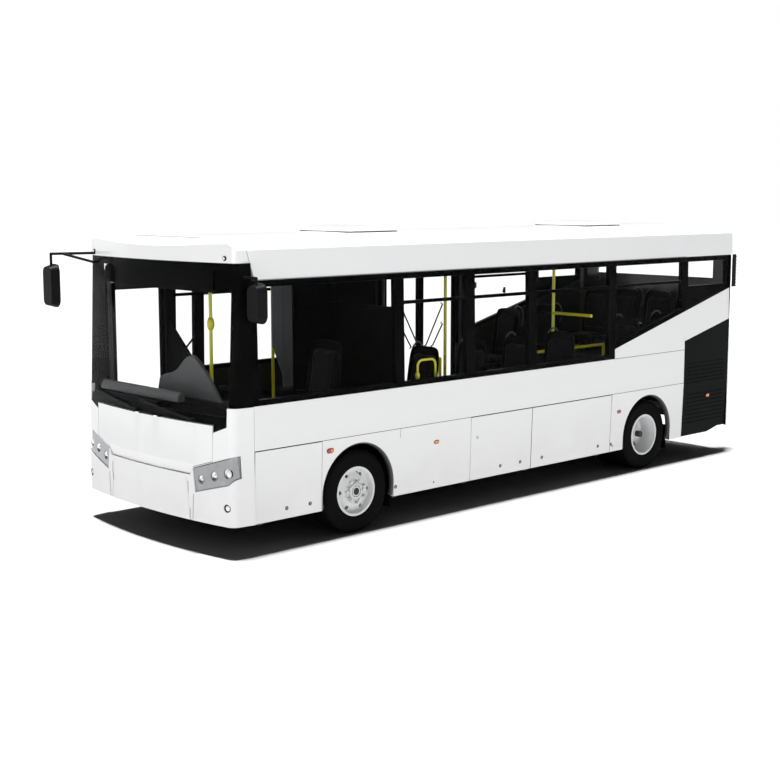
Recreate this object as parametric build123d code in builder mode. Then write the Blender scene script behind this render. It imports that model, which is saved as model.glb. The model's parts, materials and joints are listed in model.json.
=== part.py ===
from build123d import *
import os
from math import cos, radians, sin

os.makedirs("parts", exist_ok=True)

# ---------------------------------------------------------------- frame
# +X forward, +Y to the bus's left, +Z up, z = 0 on the road.
# Stations along the bus are measured from the rear axle.
REAR_AXLE = -2184.0            # rear axle in the part's frame
WHEELBASE = 4475.0
HALF_WIDTH = 1200.0

# ---------------------------------------------------------------- body shell
SKIRT_Z = 287.0                # lower edge of the skirts
SEAM_Z = 944.0                 # top of the skirt panels
SILL_Z = 1338.0                # lower edge of the side glass
CROWN_Z = 2790.0               # roof, middle line
CANT_Z = CROWN_Z - 361         # upper edge of the side glass
SHOULDER_Z = CROWN_Z - 100
EDGE_Z = CROWN_Z - 35          # roof edge line
EDGE_Y = HALF_WIDTH - 200
SKIRT_TUCK = 20.0              # skirts lean in towards the road
GLASS_LEAN = 20.0              # glass leans in towards the roof
SHOULDER_LEAN = 35.0
SHOULDER_BULGE_Y = HALF_WIDTH - 110    # middle of the roof's shoulder arc
SHOULDER_BULGE_Z = CROWN_Z - 49
WALL_INNER = HALF_WIDTH - 60   # inner face of the side walls
GLASS_T = 6.0
GLASS_SET = 1.0                # side glass lies this far behind the skin
ROOF_T = 40.0
SHUT = 10.0                    # shut line round doors and flaps
FLAP_T = 25.0
SEAT_GAP = 0.5                 # between a fixed piece and what carries it

BUMPER_X = REAR_AXLE + 5706
ARCH_FRONT_X = REAR_AXLE + 4930
BAY_1_X = REAR_AXLE + 3948
BAY_2_X = REAR_AXLE + 2968
BAY_3_X = REAR_AXLE + 2031
BAY_4_X = REAR_AXLE + 684
BAND_X = REAR_AXLE + 648       # step where the rear band starts
BAY_5_X = REAR_AXLE - 684
CORNER_X = REAR_AXLE - 1600    # rear corner post
TAIL_X = REAR_AXLE - 1720      # rearmost point of the rear wall
BAND_TOP_Z = 1448.0            # rear band, top edge at BAND_X
BAND_TOP_REAR_Z = CANT_Z - 398  # and at the rear corner
BAND_LOW_Z = 1441.0            # lower edge of the band at BAY_5_X
BAND_LOW_REAR_Z = 1654.0       # and at the rear corner
PILLAR_W = 120.0

# ---------------------------------------------------------------- front
NOSE_X = REAR_AXLE + 6040      # bumper's foremost point
CAB_X = REAR_AXLE + 5975       # datum of the dashboard, sign and mirrors
FRONT_CORNER_Y = HALF_WIDTH - 90       # where the corner's bend starts
FRONT_SAG = 95.0               # nose to corner, along X
BEND_DEPTH = 170.0             # nose to the bend's end, along X
BEND_TUCK = 20.0               # bend's end inside the skin
PANEL_LEAN = 15.0              # service flap leans back over its height
GLASS_FRONT_LEAN = 60.0
CREASE_Z = 700.0               # fold between bumper and service flap
PANEL_TOP_Z = 1172.0
WING_Y = HALF_WIDTH - 100
PANEL_Y = HALF_WIDTH - 265
LAMP_Y = HALF_WIDTH - 518      # headlamp's inner corner
DOME_Z = CROWN_Z - 210         # lower edge of the white dome
SHELL_T = 30.0
SCREEN_T = 6.0
SCREEN_FRAME_T = 38.0

# ---------------------------------------------------------------- wheels
TYRE_R = 398.5
TYRE_W = 235.0
RIM_SEAT_R = 222.0
RIM_FLANGE_R = 236.0
WHEEL_INSET = 50.0             # tyre's outer face behind the skin
TWIN_PITCH = 265.0
FRONT_WHEEL_Y = HALF_WIDTH - WHEEL_INSET - TYRE_W / 2
TWIN_INNER_Y = FRONT_WHEEL_Y - TWIN_PITCH
ARCH_R = 450.0
ARCH_Z = 420.0
HOUSING_HALF = 495.0
HOUSING_T = 8.0
FRONT_HOUSING_Y = HALF_WIDTH - 575
REAR_HOUSING_Y = HALF_WIDTH - 600
HOUSING_TOP = 890.0
KINGPIN_Y = HALF_WIDTH - 320
KINGPIN_R = 18.0
STEER_ARM = 230.0
FRONT_AXLE = REAR_AXLE + WHEELBASE

# ---------------------------------------------------------------- floor
FLOOR_Z = 380.0                # low floor
STEP_Z = 570.0
PLATFORM_Z = 760.0             # over the rear axle
ENGINE_DECK_Z = 1150.0
PODIUM_Z = 640.0               # raised floor under the seats
PODIUM_T = 20.0
PODIUM_Y = HALF_WIDTH - 560
DRIVER_FLOOR_Y = 150.0
FLOOR_T = 40.0
STEP_1_X = REAR_AXLE + 640
STEP_2_X = REAR_AXLE + 420
BULKHEAD_X = REAR_AXLE - 640
RAIL_Y = 410.0                 # chassis rail, middle of its web
RAIL_W = 60.0
RAIL_Z = 230.0

# ---------------------------------------------------------------- doors
DOOR_BOTTOM = 415.0
DOOR_TOP = CANT_Z - 129
LEAF_T = 32.0
LEAF_RECESS = 28.0
GUIDE_IN = 38.0                # guide line behind the leaf's inner face
POST_SIDE = 45.0               # leaf's edge beyond the post's axis
GUIDE_OVER = 12.0              # leaf's free edge beyond the guide pin
POST_R = 18.0
ARM_T = 12.0
STILE_W = 45.0                 # leaf's frame beside the glass
STILE_H = 70.0                 # and above and below it
ARM_CLEAR = 12.0
PIN_R = 8.0
DOOR_FRONT = (REAR_AXLE + 5020, REAR_AXLE + 5660)
DOOR_MID = (REAR_AXLE + 780, REAR_AXLE + 2000)
LEAF_OUT = HALF_WIDTH - LEAF_RECESS
GUIDE_Y = -(LEAF_OUT - LEAF_T - GUIDE_IN)
JOURNAL_R = 12.0


def side_y(z):
    """Half width of the skin at height z."""
    if z < SEAM_Z:
        return HALF_WIDTH - SKIRT_TUCK * (SEAM_Z - z) / (SEAM_Z - SKIRT_Z)
    if z > SILL_Z:
        return HALF_WIDTH - GLASS_LEAN * (z - SILL_Z) / (CANT_Z - SILL_Z)
    return HALF_WIDTH


def polygon(plane, points):
    """Closed straight-sided outline on a plane."""
    with BuildSketch(plane) as flat:
        with BuildLine():
            Polyline(*points, close=True)
        make_face()
    return flat.sketch


def across(y):
    """Plane that looks along Y: local x = X, local y = Z."""
    return Plane(origin=(0, y, 0), x_dir=(1, 0, 0), z_dir=(0, -1, 0))


def slab(x0, x1, y0, y1, z0, z1, mode=Mode.ADD):
    """Box between two corners, inside the current part."""
    with Locations(((x0 + x1) / 2, (y0 + y1) / 2, (z0 + z1) / 2)):
        Box(abs(x1 - x0), abs(y1 - y0), abs(z1 - z0), mode=mode)


def bar_y(x, z, r, y0, y1, mode=Mode.ADD):
    """Round bar along Y."""
    with BuildSketch(across(y0)) as disc:
        with Locations((x, z)):
            Circle(r)
    extrude(disc.sketch, amount=y0 - y1, mode=mode)


def bar_z(x, y, r, z0, z1, mode=Mode.ADD):
    """Round bar along Z."""
    with BuildSketch(Plane.XY.offset(z0)) as disc:
        with Locations((x, y)):
            Circle(r)
    extrude(disc.sketch, amount=z1 - z0, mode=mode)


def rod(start, end, r):
    """Round bar between two points, round at its far end."""
    run = Vector(*end) - Vector(*start)
    with BuildSketch(Plane(origin=start, z_dir=run)) as disc:
        Circle(r)
    extrude(disc.sketch, amount=run.length)
    with Locations(end):
        Sphere(r)


HINGE_Y = 150.0                # middle of each hinge
HINGE_HALF = 28.0              # half width of the lid's knuckle
HINGE_END = 56.0               # outer end of the frame's knuckles


def hinge_knuckles(x, z, r, on_lid, plate):
    """Knuckles of two hinges along Y, each with a plate (x0, x1, z0, z1) into what carries it."""
    spans = ((-HINGE_HALF, HINGE_HALF),) if on_lid else (
        (HINGE_HALF + SEAT_GAP, HINGE_END), (-HINGE_END, -HINGE_HALF - SEAT_GAP))
    for middle in (HINGE_Y, -HINGE_Y):
        for y0, y1 in spans:
            bar_y(x, z, r, middle + y1, middle + y0)
            slab(plate[0], plate[1], middle + y0, middle + y1, plate[2], plate[3])


def layer(side, depth_0, depth_1, z0, z1):
    """YZ outline of a layer between two depths behind the skin."""
    stops = [z0] + [z for z in (SEAM_Z, SILL_Z) if z0 < z < z1] + [z1]
    outer = [(side * (side_y(z) - depth_0), z) for z in stops]
    inner = [(side * (side_y(z) - depth_1), z) for z in reversed(stops)]
    return outer + inner


def front_plan(z, shift, inset):
    """Plan outline of the rounded front at height z, drawn back to the door line."""
    back = BUMPER_X - 900
    nose = NOSE_X - shift - inset
    corner_x = nose - FRONT_SAG
    corner_y = FRONT_CORNER_Y - inset
    side = HALF_WIDTH - inset
    seam = BUMPER_X + 10 - 0.4 * inset
    bend_x, bend_y = nose - BEND_DEPTH, side - BEND_TUCK
    with BuildSketch(Plane.XY.offset(z)) as plan:
        with BuildLine():
            face = ThreePointArc((corner_x, -corner_y), (nose, 0), (corner_x, corner_y))
            TangentArc((corner_x, corner_y), (bend_x, bend_y), tangent=face % 1)
            TangentArc((corner_x, -corner_y), (bend_x, -bend_y), tangent=-(face % 0))
            Polyline((bend_x, bend_y), (seam, side), (back, side), (back, -side), (seam, -side),
                     (bend_x, -bend_y))
        make_face()
    return plan.sketch


def front_lean(z):
    """How far the front face has leaned back at height z."""
    if z <= CREASE_Z:
        return 0.0
    if z <= PANEL_TOP_Z:
        return PANEL_LEAN * (z - CREASE_Z) / (PANEL_TOP_Z - CREASE_Z)
    return PANEL_LEAN + GLASS_FRONT_LEAN * (z - PANEL_TOP_Z) / (DOME_Z - PANEL_TOP_Z)


def front_shell(z0, z1, inset_0, inset_1):
    """Shell of the rounded front between two heights and two insets."""
    stops = [z0] + [z for z in (CREASE_Z, PANEL_TOP_Z) if z0 < z < z1] + [z1]
    for inset, mode in ((inset_0, Mode.ADD), (inset_1, Mode.SUBTRACT)):
        for low, high in zip(stops, stops[1:]):
            sections = [front_plan(z, front_lean(z), inset) for z in (low, high)]
            loft(sections, ruled=True, mode=mode)


def rear_plan(z, inset):
    """Plan outline of the rounded rear at height z."""
    side = HALF_WIDTH - inset
    mid_x, mid_y = CORNER_X - 68 + inset * 0.7, HALF_WIDTH - 35 - inset * 0.7
    end_x, end_y = CORNER_X - 95 + inset, HALF_WIDTH - 120
    with BuildSketch(Plane.XY.offset(z)) as plan:
        with BuildLine():
            Polyline((CORNER_X, -side), (CORNER_X + 100, -side), (CORNER_X + 100, side),
                     (CORNER_X, side))
            ThreePointArc((CORNER_X, side), (mid_x, mid_y), (end_x, end_y))
            ThreePointArc((end_x, end_y), (TAIL_X + inset, 0), (end_x, -end_y))
            ThreePointArc((end_x, -end_y), (mid_x, -mid_y), (CORNER_X, -side))
        make_face()
    return plan.sketch


def roof_face(x, inset):
    """Cross-section of the roof at station x."""
    foot = HALF_WIDTH - GLASS_LEAN - inset
    shoulder = HALF_WIDTH - SHOULDER_LEAN - inset
    with BuildSketch(Plane.YZ.offset(x)) as section:
        with BuildLine() as rim:
            Line((foot, CANT_Z), (shoulder, SHOULDER_Z))
            ThreePointArc((shoulder, SHOULDER_Z),
                          (SHOULDER_BULGE_Y - inset * 0.6, SHOULDER_BULGE_Z - inset * 0.8),
                          (EDGE_Y, EDGE_Z - inset))
            ThreePointArc((EDGE_Y, EDGE_Z - inset), (0, CROWN_Z - inset),
                          (-EDGE_Y, EDGE_Z - inset))
            ThreePointArc((-EDGE_Y, EDGE_Z - inset),
                          (-SHOULDER_BULGE_Y + inset * 0.6, SHOULDER_BULGE_Z - inset * 0.8),
                          (-shoulder, SHOULDER_Z))
            Line((-shoulder, SHOULDER_Z), (-foot, CANT_Z))
            Line((-foot, CANT_Z), (foot, CANT_Z))
        make_face()
    return section.sketch


def save(part, name):
    part.label = name
    export_step(part, f"parts/{name}.step")


# ================================================================ side walls
WINDOW_LOW = 50.0              # window's foot above the sill
WINDOW_TOP = CANT_Z - 60
TRANSOM_Z = CANT_Z - 286       # bar under the tilting upper panes
TRANSOM_H = 30.0
LAST_WINDOW_Z = CANT_Z - 344   # foot of the small window in the last bay
BAND_SLOPE = (BAND_TOP_REAR_Z - BAND_TOP_Z) / (BAND_X - CORNER_X)


def glazing(gap):
    """Glazed zone of a wall, above the sill and the rear band by a gap."""
    return [(BUMPER_X, SILL_Z + gap), (BAND_X + gap, SILL_Z + gap), (BAND_X + gap, BAND_TOP_Z + gap),
            (CORNER_X, BAND_TOP_REAR_Z + gap), (CORNER_X, CANT_Z), (BUMPER_X, CANT_Z)]


def band_z(x):
    """Top edge of the rear band at station x, or the sill ahead of it."""
    if x > BAND_X:
        return SILL_Z
    return BAND_TOP_Z + BAND_SLOPE * (BAND_X - x)


def window(front, rear):
    """Outlines of a bay's openings between its pillars, below and above the transom."""
    x0, x1 = rear + PILLAR_W / 2, front - PILLAR_W / 2
    upper = [(x0, TRANSOM_Z + TRANSOM_H / 2), (x1, TRANSOM_Z + TRANSOM_H / 2), (x1, WINDOW_TOP),
             (x0, WINDOW_TOP)]
    if rear < BAY_5_X:
        return [[(x0, LAST_WINDOW_Z), (x1, LAST_WINDOW_Z), (x1, WINDOW_TOP), (x0, WINDOW_TOP)]]
    foot = [(x0, band_z(x0) + WINDOW_LOW), (x1, band_z(x1) + WINDOW_LOW)]
    if front == BUMPER_X:
        return [foot + [(x1, WINDOW_TOP), (x0, WINDOW_TOP)]]
    return [foot + [(x1, TRANSOM_Z - TRANSOM_H / 2), (x0, TRANSOM_Z - TRANSOM_H / 2)], upper]


MULLION_X = REAR_AXLE + 4610   # narrow windows behind the front door
# (front end, rear end) of each bay, side by side
LEFT_BAYS = ((BUMPER_X, BAY_1_X), (BAY_1_X, BAY_2_X), (BAY_2_X, BAY_3_X),
             (BAY_3_X, BAY_4_X), (BAY_4_X, BAY_5_X), (BAY_5_X, CORNER_X))
RIGHT_BAYS = ((DOOR_FRONT[0] - 60, MULLION_X), (MULLION_X, BAY_1_X), (BAY_1_X, BAY_2_X),
              (BAY_2_X, DOOR_MID[1] + 60),
              (BAY_4_X, BAY_5_X), (BAY_5_X, CORNER_X))
# (rear end, front end) of the hinged skirt flaps
LEFT_FLAPS = {"flap_front_left": (ARCH_FRONT_X, BUMPER_X),
              "flap_middle_left": (BAY_3_X, BAY_2_X),
              "flap_rear_left": (BAY_4_X, BAY_3_X)}
FLAP_FRAME = 45.0


def arch(axle):
    """Outline of a wheel arch, open to the road."""
    with BuildSketch(across(0)) as opening:
        with Locations((axle, ARCH_Z)):
            Circle(ARCH_R)
        with Locations((axle, ARCH_Z - 300)):
            Rectangle(2 * ARCH_R, 600)
    return opening.sketch


def wall(side):
    """Panels of one side wall below the glass, with the wheel arches and seams."""
    for x0, x1, z0, z1 in ((BAY_5_X, BUMPER_X, SKIRT_Z, SILL_Z), (CORNER_X, BAND_X, SILL_Z, CANT_Z)):
        stops = [z0] + [z for z in (SEAM_Z,) if z0 < z < z1] + [z1]
        inner = WALL_INNER if z0 < SILL_Z else WALL_INNER - GLASS_LEAN
        outline = [(side * side_y(z), z) for z in stops]
        outline += [(side * inner, z1), (side * WALL_INNER, z0)]
        extrude(polygon(Plane.YZ.offset(x0), outline), amount=x1 - x0)
    extrude(polygon(across(0), glazing(0)), amount=HALF_WIDTH + 50, both=True, mode=Mode.SUBTRACT)
    for axle in (REAR_AXLE, FRONT_AXLE):
        extrude(arch(axle), amount=HALF_WIDTH + 50, both=True, mode=Mode.SUBTRACT)
    for x0, x1, z0, z1 in SEAMS:
        slab(x0, x1, side * (HALF_WIDTH - SEAM_DEPTH), side * (HALF_WIDTH + 50), z0, z1,
             mode=Mode.SUBTRACT)


SEAM_W = 5.0
SEAM_DEPTH = 4.0
# (rear end, front end, lower end, upper end) of the grooves between fixed panels
SEAMS = ((BAY_5_X, BUMPER_X, SEAM_Z - SEAM_W, SEAM_Z),
         (BAY_5_X, BAND_X, SILL_Z - SEAM_W / 2, SILL_Z + SEAM_W / 2),
         (BAY_1_X - SEAM_W / 2, BAY_1_X + SEAM_W / 2, SKIRT_Z, SEAM_Z),
         (BAY_4_X - SEAM_W / 2, BAY_4_X + SEAM_W / 2, SKIRT_Z, SEAM_Z),
         (BAY_5_X - SEAM_W / 2, BAY_5_X + SEAM_W / 2, SEAM_Z, CANT_Z))
SEAT_DEPTH = GLASS_SET + GLASS_T

with BuildPart() as door_pocket:
    extrude(polygon(Plane.YZ.offset(CORNER_X), layer(1, -30, FLAP_T + 1, SKIRT_Z - 30, 1800)),
            amount=BAY_5_X - CORNER_X)
    below_band = [(BAY_5_X, 0), (BAY_5_X, BAND_LOW_Z), (CORNER_X, BAND_LOW_REAR_Z), (CORNER_X, 0)]
    extrude(polygon(across(0), below_band), amount=-HALF_WIDTH - 50, mode=Mode.INTERSECT)

with BuildPart() as side_wall_left:
    wall(1)
    add(door_pocket.part, mode=Mode.SUBTRACT)
    for rear, front in LEFT_FLAPS.values():
        slab(rear + FLAP_FRAME, front - FLAP_FRAME, WALL_INNER - 50, HALF_WIDTH + 50,
             FLOOR_Z + PODIUM_T, PODIUM_Z - 2 * PODIUM_T, mode=Mode.SUBTRACT)
        seat = layer(1, -30, FLAP_T, SKIRT_Z - 30, SEAM_Z)
        extrude(polygon(Plane.YZ.offset(rear), seat), amount=front - rear, mode=Mode.SUBTRACT)
save(side_wall_left.part, "side_wall_left")

with BuildPart() as side_wall_right:
    wall(-1)
    for rear, front in (DOOR_FRONT, DOOR_MID):
        slab(rear, front, -WALL_INNER + 50, -HALF_WIDTH - 50, FLOOR_Z - 20, DOOR_TOP + SHUT,
             mode=Mode.SUBTRACT)
save(side_wall_right.part, "side_wall_right")

# Black frames behind the glass, one along each side
with BuildPart() as window_frames:
    for side, bays in ((1, LEFT_BAYS), (-1, RIGHT_BAYS)):
        outline = [(side * (side_y(z) - SEAT_DEPTH), z) for z in (SILL_Z, CANT_Z)]
        outline += [(side * (WALL_INNER - GLASS_LEAN), CANT_Z), (side * WALL_INNER, SILL_Z)]
        extrude(polygon(Plane.YZ.offset(CORNER_X), outline), amount=BUMPER_X - CORNER_X)
        for front, rear in bays:
            for opening in window(front, rear):
                extrude(polygon(across(0), opening), amount=-side * (HALF_WIDTH + 50),
                        mode=Mode.SUBTRACT)
    extrude(polygon(across(0), glazing(SEAT_GAP)), amount=HALF_WIDTH + 50, both=True,
            mode=Mode.INTERSECT)
    for rear, front in (DOOR_FRONT, DOOR_MID):
        slab(rear, front, -WALL_INNER + 50, -HALF_WIDTH - 50, FLOOR_Z - 20, DOOR_TOP + SHUT,
             mode=Mode.SUBTRACT)
save(window_frames.part, "window_frames")

# ================================================================ side glass
PANE_GAP = 4.0
# (side, front end, rear end, lower edge) of the panes; None follows sill and band
RIGHT_PANES = ((BUMPER_X, DOOR_FRONT[0] - 60, DOOR_TOP + 40),) + tuple(
    (front, rear, None) for front, rear in RIGHT_BAYS) + (
    (DOOR_MID[1] + 60, BAY_4_X, DOOR_TOP + 40),)


def pane(side, front, rear, low):
    """One flush pane between two shut lines."""
    x0, x1 = rear + PANE_GAP / 2, front - PANE_GAP / 2
    foot = [(x, (low or band_z(x)) + PANE_GAP / 2) for x in (x0, x1)]
    if low is None and x0 < BAND_X < x1:
        step_x = BAND_X + PANE_GAP / 2
        foot = [foot[0], (step_x, BAND_TOP_Z + PANE_GAP / 2), (step_x, foot[1][1]), foot[1]]
    outline = foot + [(x1, CANT_Z - PANE_GAP / 2), (x0, CANT_Z - PANE_GAP / 2)]
    with BuildPart() as sheet:
        section = layer(side, GLASS_SET, SEAT_DEPTH, SILL_Z, CANT_Z)
        extrude(polygon(Plane.YZ.offset(x0), section), amount=x1 - x0)
        extrude(polygon(across(0), outline), amount=-side * (HALF_WIDTH + 50), mode=Mode.INTERSECT)
    return sheet.part


with BuildPart() as side_glass:
    for front, rear in LEFT_BAYS:
        add(pane(1, front, rear, None))
    for front, rear, low in RIGHT_PANES:
        add(pane(-1, front, rear, low))
save(side_glass.part, "side_glass")

# ================================================================ roof
HATCH_W = 820.0
HATCH_L = 700.0
HATCH_T = 45.0
HATCH_SEAT = CROWN_Z + 6
HATCH_GAP = 0.5
HATCHES = {"hatch_front": REAR_AXLE + 3550, "hatch_rear": REAR_AXLE - 120}
HATCH_RIM = 30.0
ROOF_REAR = CORNER_X - 60
DOME_SEAM_LOW = REAR_AXLE + 5670
DOME_SEAM_TOP = REAR_AXLE + 5745
ROOF_SEAM = 4.0


def dome_seam(z):
    """Slanted seam between the roof's side band and the front, at height z."""
    share = (z - CANT_Z) / (SHOULDER_Z - CANT_Z)
    return DOME_SEAM_LOW + (DOME_SEAM_TOP - DOME_SEAM_LOW) * share


def roof_under(y):
    """Height of the ceiling at distance y from the middle."""
    return CROWN_Z - ROOF_T - (CROWN_Z - EDGE_Z) * (y / EDGE_Y) ** 2


with BuildPart() as roof:
    extrude(roof_face(ROOF_REAR, 0), amount=DOME_SEAM_TOP - ROOF_REAR)
    with BuildSketch(across(0)) as keep:
        with BuildLine():
            Polyline((ROOF_REAR, CANT_Z), (ROOF_REAR, SHOULDER_Z - 10),
                     (ROOF_REAR + 80, CROWN_Z + 5), (DOME_SEAM_TOP - ROOF_SEAM, CROWN_Z + 5),
                     (DOME_SEAM_TOP - ROOF_SEAM, SHOULDER_Z),
                     (DOME_SEAM_LOW - ROOF_SEAM, CANT_Z), close=True)
        make_face()
    extrude(keep.sketch, amount=HALF_WIDTH + 50, both=True, mode=Mode.INTERSECT)
    extrude(roof_face(ROOF_REAR + 2 * ROOF_T, ROOF_T), amount=8000, mode=Mode.SUBTRACT)
    for x in HATCHES.values():
        with BuildSketch(Plane.XY.offset(CROWN_Z - ROOF_T + 10)) as rim:
            with Locations((x, 0)):
                RectangleRounded(HATCH_L - 2 * HATCH_RIM, HATCH_W - 2 * HATCH_RIM, 50)
        extrude(rim.sketch, amount=HATCH_SEAT - CROWN_Z + ROOF_T - 10)
        with BuildSketch(Plane.XY.offset(CROWN_Z - 200)) as hole:
            with Locations((x, 0)):
                RectangleRounded(HATCH_L - 4 * HATCH_RIM, HATCH_W - 4 * HATCH_RIM, 40)
        extrude(hole.sketch, amount=400, mode=Mode.SUBTRACT)
save(roof.part, "roof")

for name, x in HATCHES.items():
    with BuildPart() as hatch:
        with BuildSketch(Plane.XY.offset(HATCH_SEAT + HATCH_GAP)):
            with Locations((x, 0)):
                RectangleRounded(HATCH_L, HATCH_W, 60)
        extrude(amount=HATCH_T, taper=12)
    save(hatch.part, name)

# ================================================================ front
FRONT_SEAM = BUMPER_X + 4
HEADLAMP = [(LAMP_Y, 766), (HALF_WIDTH - 18, 921), (HALF_WIDTH - 16, 720), (HALF_WIDTH - 70, 659),
            (LAMP_Y + 30, 550)]
LAMP_FACE = 10.0               # lamp's face behind the skin
FLAP_OUTLINE = [(-PANEL_Y, PANEL_TOP_Z), (-PANEL_Y, 850), (-LAMP_Y - 7, 775), (33 - LAMP_Y, CREASE_Z),
                (LAMP_Y - 33, CREASE_Z), (LAMP_Y + 7, 775), (PANEL_Y, 850), (PANEL_Y, PANEL_TOP_Z)]
# (y, z, radius) of the bowls in each headlamp, then of the fog lamp
BOWLS = ((LAMP_Y + 99, 674, 40), (LAMP_Y + 264, 722, 44), (HALF_WIDTH - 95, 763, 46))
BOWL_DEPTH = 26.0
FOG_Y = HALF_WIDTH - 95
FOG_Z = 457.0
FOG_R = 36.0
# Fold beside the bumper's middle: (y, z) at its foot and top, its half width and depth
FOLD = ((LAMP_Y - 37, SKIRT_Z), (LAMP_Y - 92, CREASE_Z - 20))
FOLD_HALF = 24.0
FOLD_DEPTH = 15.0
DISH_DEPTH = 20.0              # service flap's foot lies behind the bumper's edge
DISH_TOP_Z = 800.0
FRONT_FLAP_T = 44.0


def inward(points, gap):
    """Outline moved inwards by a shut line."""
    with BuildSketch(Plane.YZ) as shape:
        with BuildLine():
            Polyline(*points, close=True)
        make_face()
        offset(amount=-gap)
    return shape.sketch


with BuildPart() as folds:
    for side in (1, -1):
        sections = []
        for y, z in FOLD:
            face_x = NOSE_X - FRONT_SAG * (y / FRONT_CORNER_Y) ** 2
            with BuildSketch(Plane.XY.offset(z)) as notch:
                with BuildLine():
                    Polyline((face_x + 20, side * (y + FOLD_HALF + 8)), (face_x - FOLD_DEPTH, side * y),
                             (face_x + 20, side * (y - FOLD_HALF - 14)), close=True)
                make_face()
            sections.append(notch.sketch)
        loft(sections, ruled=True)

with BuildPart() as front_bumper:
    front_shell(SKIRT_Z + 3, SILL_Z - 4, 0, SHELL_T)
    slab(-5000, FRONT_SEAM, -1300, 1300, 0, 3000, mode=Mode.SUBTRACT)
    screen_foot = [(-WING_Y, SILL_Z + 50), (-WING_Y, 1168), (-PANEL_Y, 1105), (PANEL_Y, 1105),
                   (WING_Y, 1168), (WING_Y, SILL_Z + 50)]
    extrude(polygon(Plane.YZ, screen_foot), amount=8000, mode=Mode.SUBTRACT)
    extrude(polygon(Plane.YZ, FLAP_OUTLINE), amount=8000, mode=Mode.SUBTRACT)
    add(folds.part, mode=Mode.SUBTRACT)
    for side in (1, -1):
        lamp = [(side * y, z) for y, z in HEADLAMP]
        extrude(polygon(Plane.YZ, lamp), amount=8000, mode=Mode.SUBTRACT)
    with BuildSketch(Plane.YZ) as fog_holes:
        with Locations((FOG_Y, FOG_Z), (-FOG_Y, FOG_Z)):
            Circle(FOG_R + SEAT_GAP)
    extrude(fog_holes.sketch, amount=8000, mode=Mode.SUBTRACT)
save(front_bumper.part, "front_bumper")

FLAP_HINGE_X = NOSE_X - PANEL_LEAN + 2
with BuildPart() as front_flap:
    stops = ((CREASE_Z, DISH_DEPTH), (DISH_TOP_Z, 0), (PANEL_TOP_Z, 0))
    for low, high in zip(stops, stops[1:]):
        loft([front_plan(z, front_lean(z) + dish, 0) for z, dish in (low, high)], ruled=True)
    for low, high in zip(stops, stops[1:]):
        sections = [front_plan(z, front_lean(z), FRONT_FLAP_T) for z in (low[0], high[0])]
        loft(sections, ruled=True, mode=Mode.SUBTRACT)
    extrude(inward(FLAP_OUTLINE, SHUT / 2), amount=8000, mode=Mode.INTERSECT)
    hinge_knuckles(FLAP_HINGE_X, PANEL_TOP_Z, 4, True,
                   (FLAP_HINGE_X - 12, FLAP_HINGE_X, PANEL_TOP_Z - 12, PANEL_TOP_Z))
save(front_flap.part, "front_flap")

with BuildPart() as headlamps:
    front_shell(SKIRT_Z, SILL_Z - 200, LAMP_FACE, 60)
    with BuildSketch(Plane.YZ) as lamp_faces:
        for side in (1, -1):
            with BuildLine():
                Polyline(*[(side * y, z) for y, z in HEADLAMP], close=True)
            make_face()
        offset(amount=-SEAT_GAP)
        with Locations((FOG_Y, FOG_Z), (-FOG_Y, FOG_Z)):
            Circle(FOG_R)
    extrude(lamp_faces.sketch, amount=8000, mode=Mode.INTERSECT)
    slab(-5000, FRONT_SEAM + 2, -1300, 1300, 0, 3000, mode=Mode.SUBTRACT)
    for y, z, r in BOWLS:
        face_x = NOSE_X - FRONT_SAG * (y / FRONT_CORNER_Y) ** 2 - LAMP_FACE
        with BuildSketch(Plane.YZ.offset(face_x - BOWL_DEPTH)) as bowls:
            with Locations((y, z), (-y, z)):
                Circle(r)
        extrude(bowls.sketch, amount=100, mode=Mode.SUBTRACT)
save(headlamps.part, "headlamps")

SCREEN_LOW_Z = PANEL_TOP_Z + 10
with BuildPart() as screen_frame:
    front_shell(1090, DOME_Z, SCREEN_T + 1.5, SCREEN_T + SCREEN_FRAME_T)
    slab(-5000, FRONT_SEAM, -1300, 1300, 0, 3000, mode=Mode.SUBTRACT)
    edge = HALF_WIDTH - 85
    slab(BUMPER_X, 9000, -edge, edge, PANEL_TOP_Z + 80, DOME_Z - 70, mode=Mode.SUBTRACT)
    flap_room = [(-PANEL_Y, PANEL_TOP_Z + 8), (-PANEL_Y, 1000), (PANEL_Y, 1000), (PANEL_Y, PANEL_TOP_Z + 8)]
    extrude(polygon(Plane.YZ, flap_room), amount=8000, mode=Mode.SUBTRACT)
    rear_edge = [(0, CANT_Z), (FRONT_SEAM, CANT_Z), (dome_seam(DOME_Z) + ROOF_SEAM, DOME_Z), (0, DOME_Z)]
    extrude(polygon(across(0), rear_edge), amount=HALF_WIDTH + 50, both=True, mode=Mode.SUBTRACT)
    add(front_bumper.part, mode=Mode.SUBTRACT)
    hinge_knuckles(FLAP_HINGE_X, PANEL_TOP_Z, 4, False,
                   (FLAP_HINGE_X - 16, FLAP_HINGE_X, PANEL_TOP_Z - 3, PANEL_TOP_Z + 2))
    for y in (HINGE_Y, -HINGE_Y):
        for side in (1, -1):
            y0, y1 = y + side * (HINGE_HALF + SEAT_GAP), y + side * HINGE_END
            slab(FLAP_HINGE_X - 30, FLAP_HINGE_X - 15.5, y0, y1, PANEL_TOP_Z - 3, PANEL_TOP_Z + 12)
save(screen_frame.part, "screen_frame")

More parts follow.
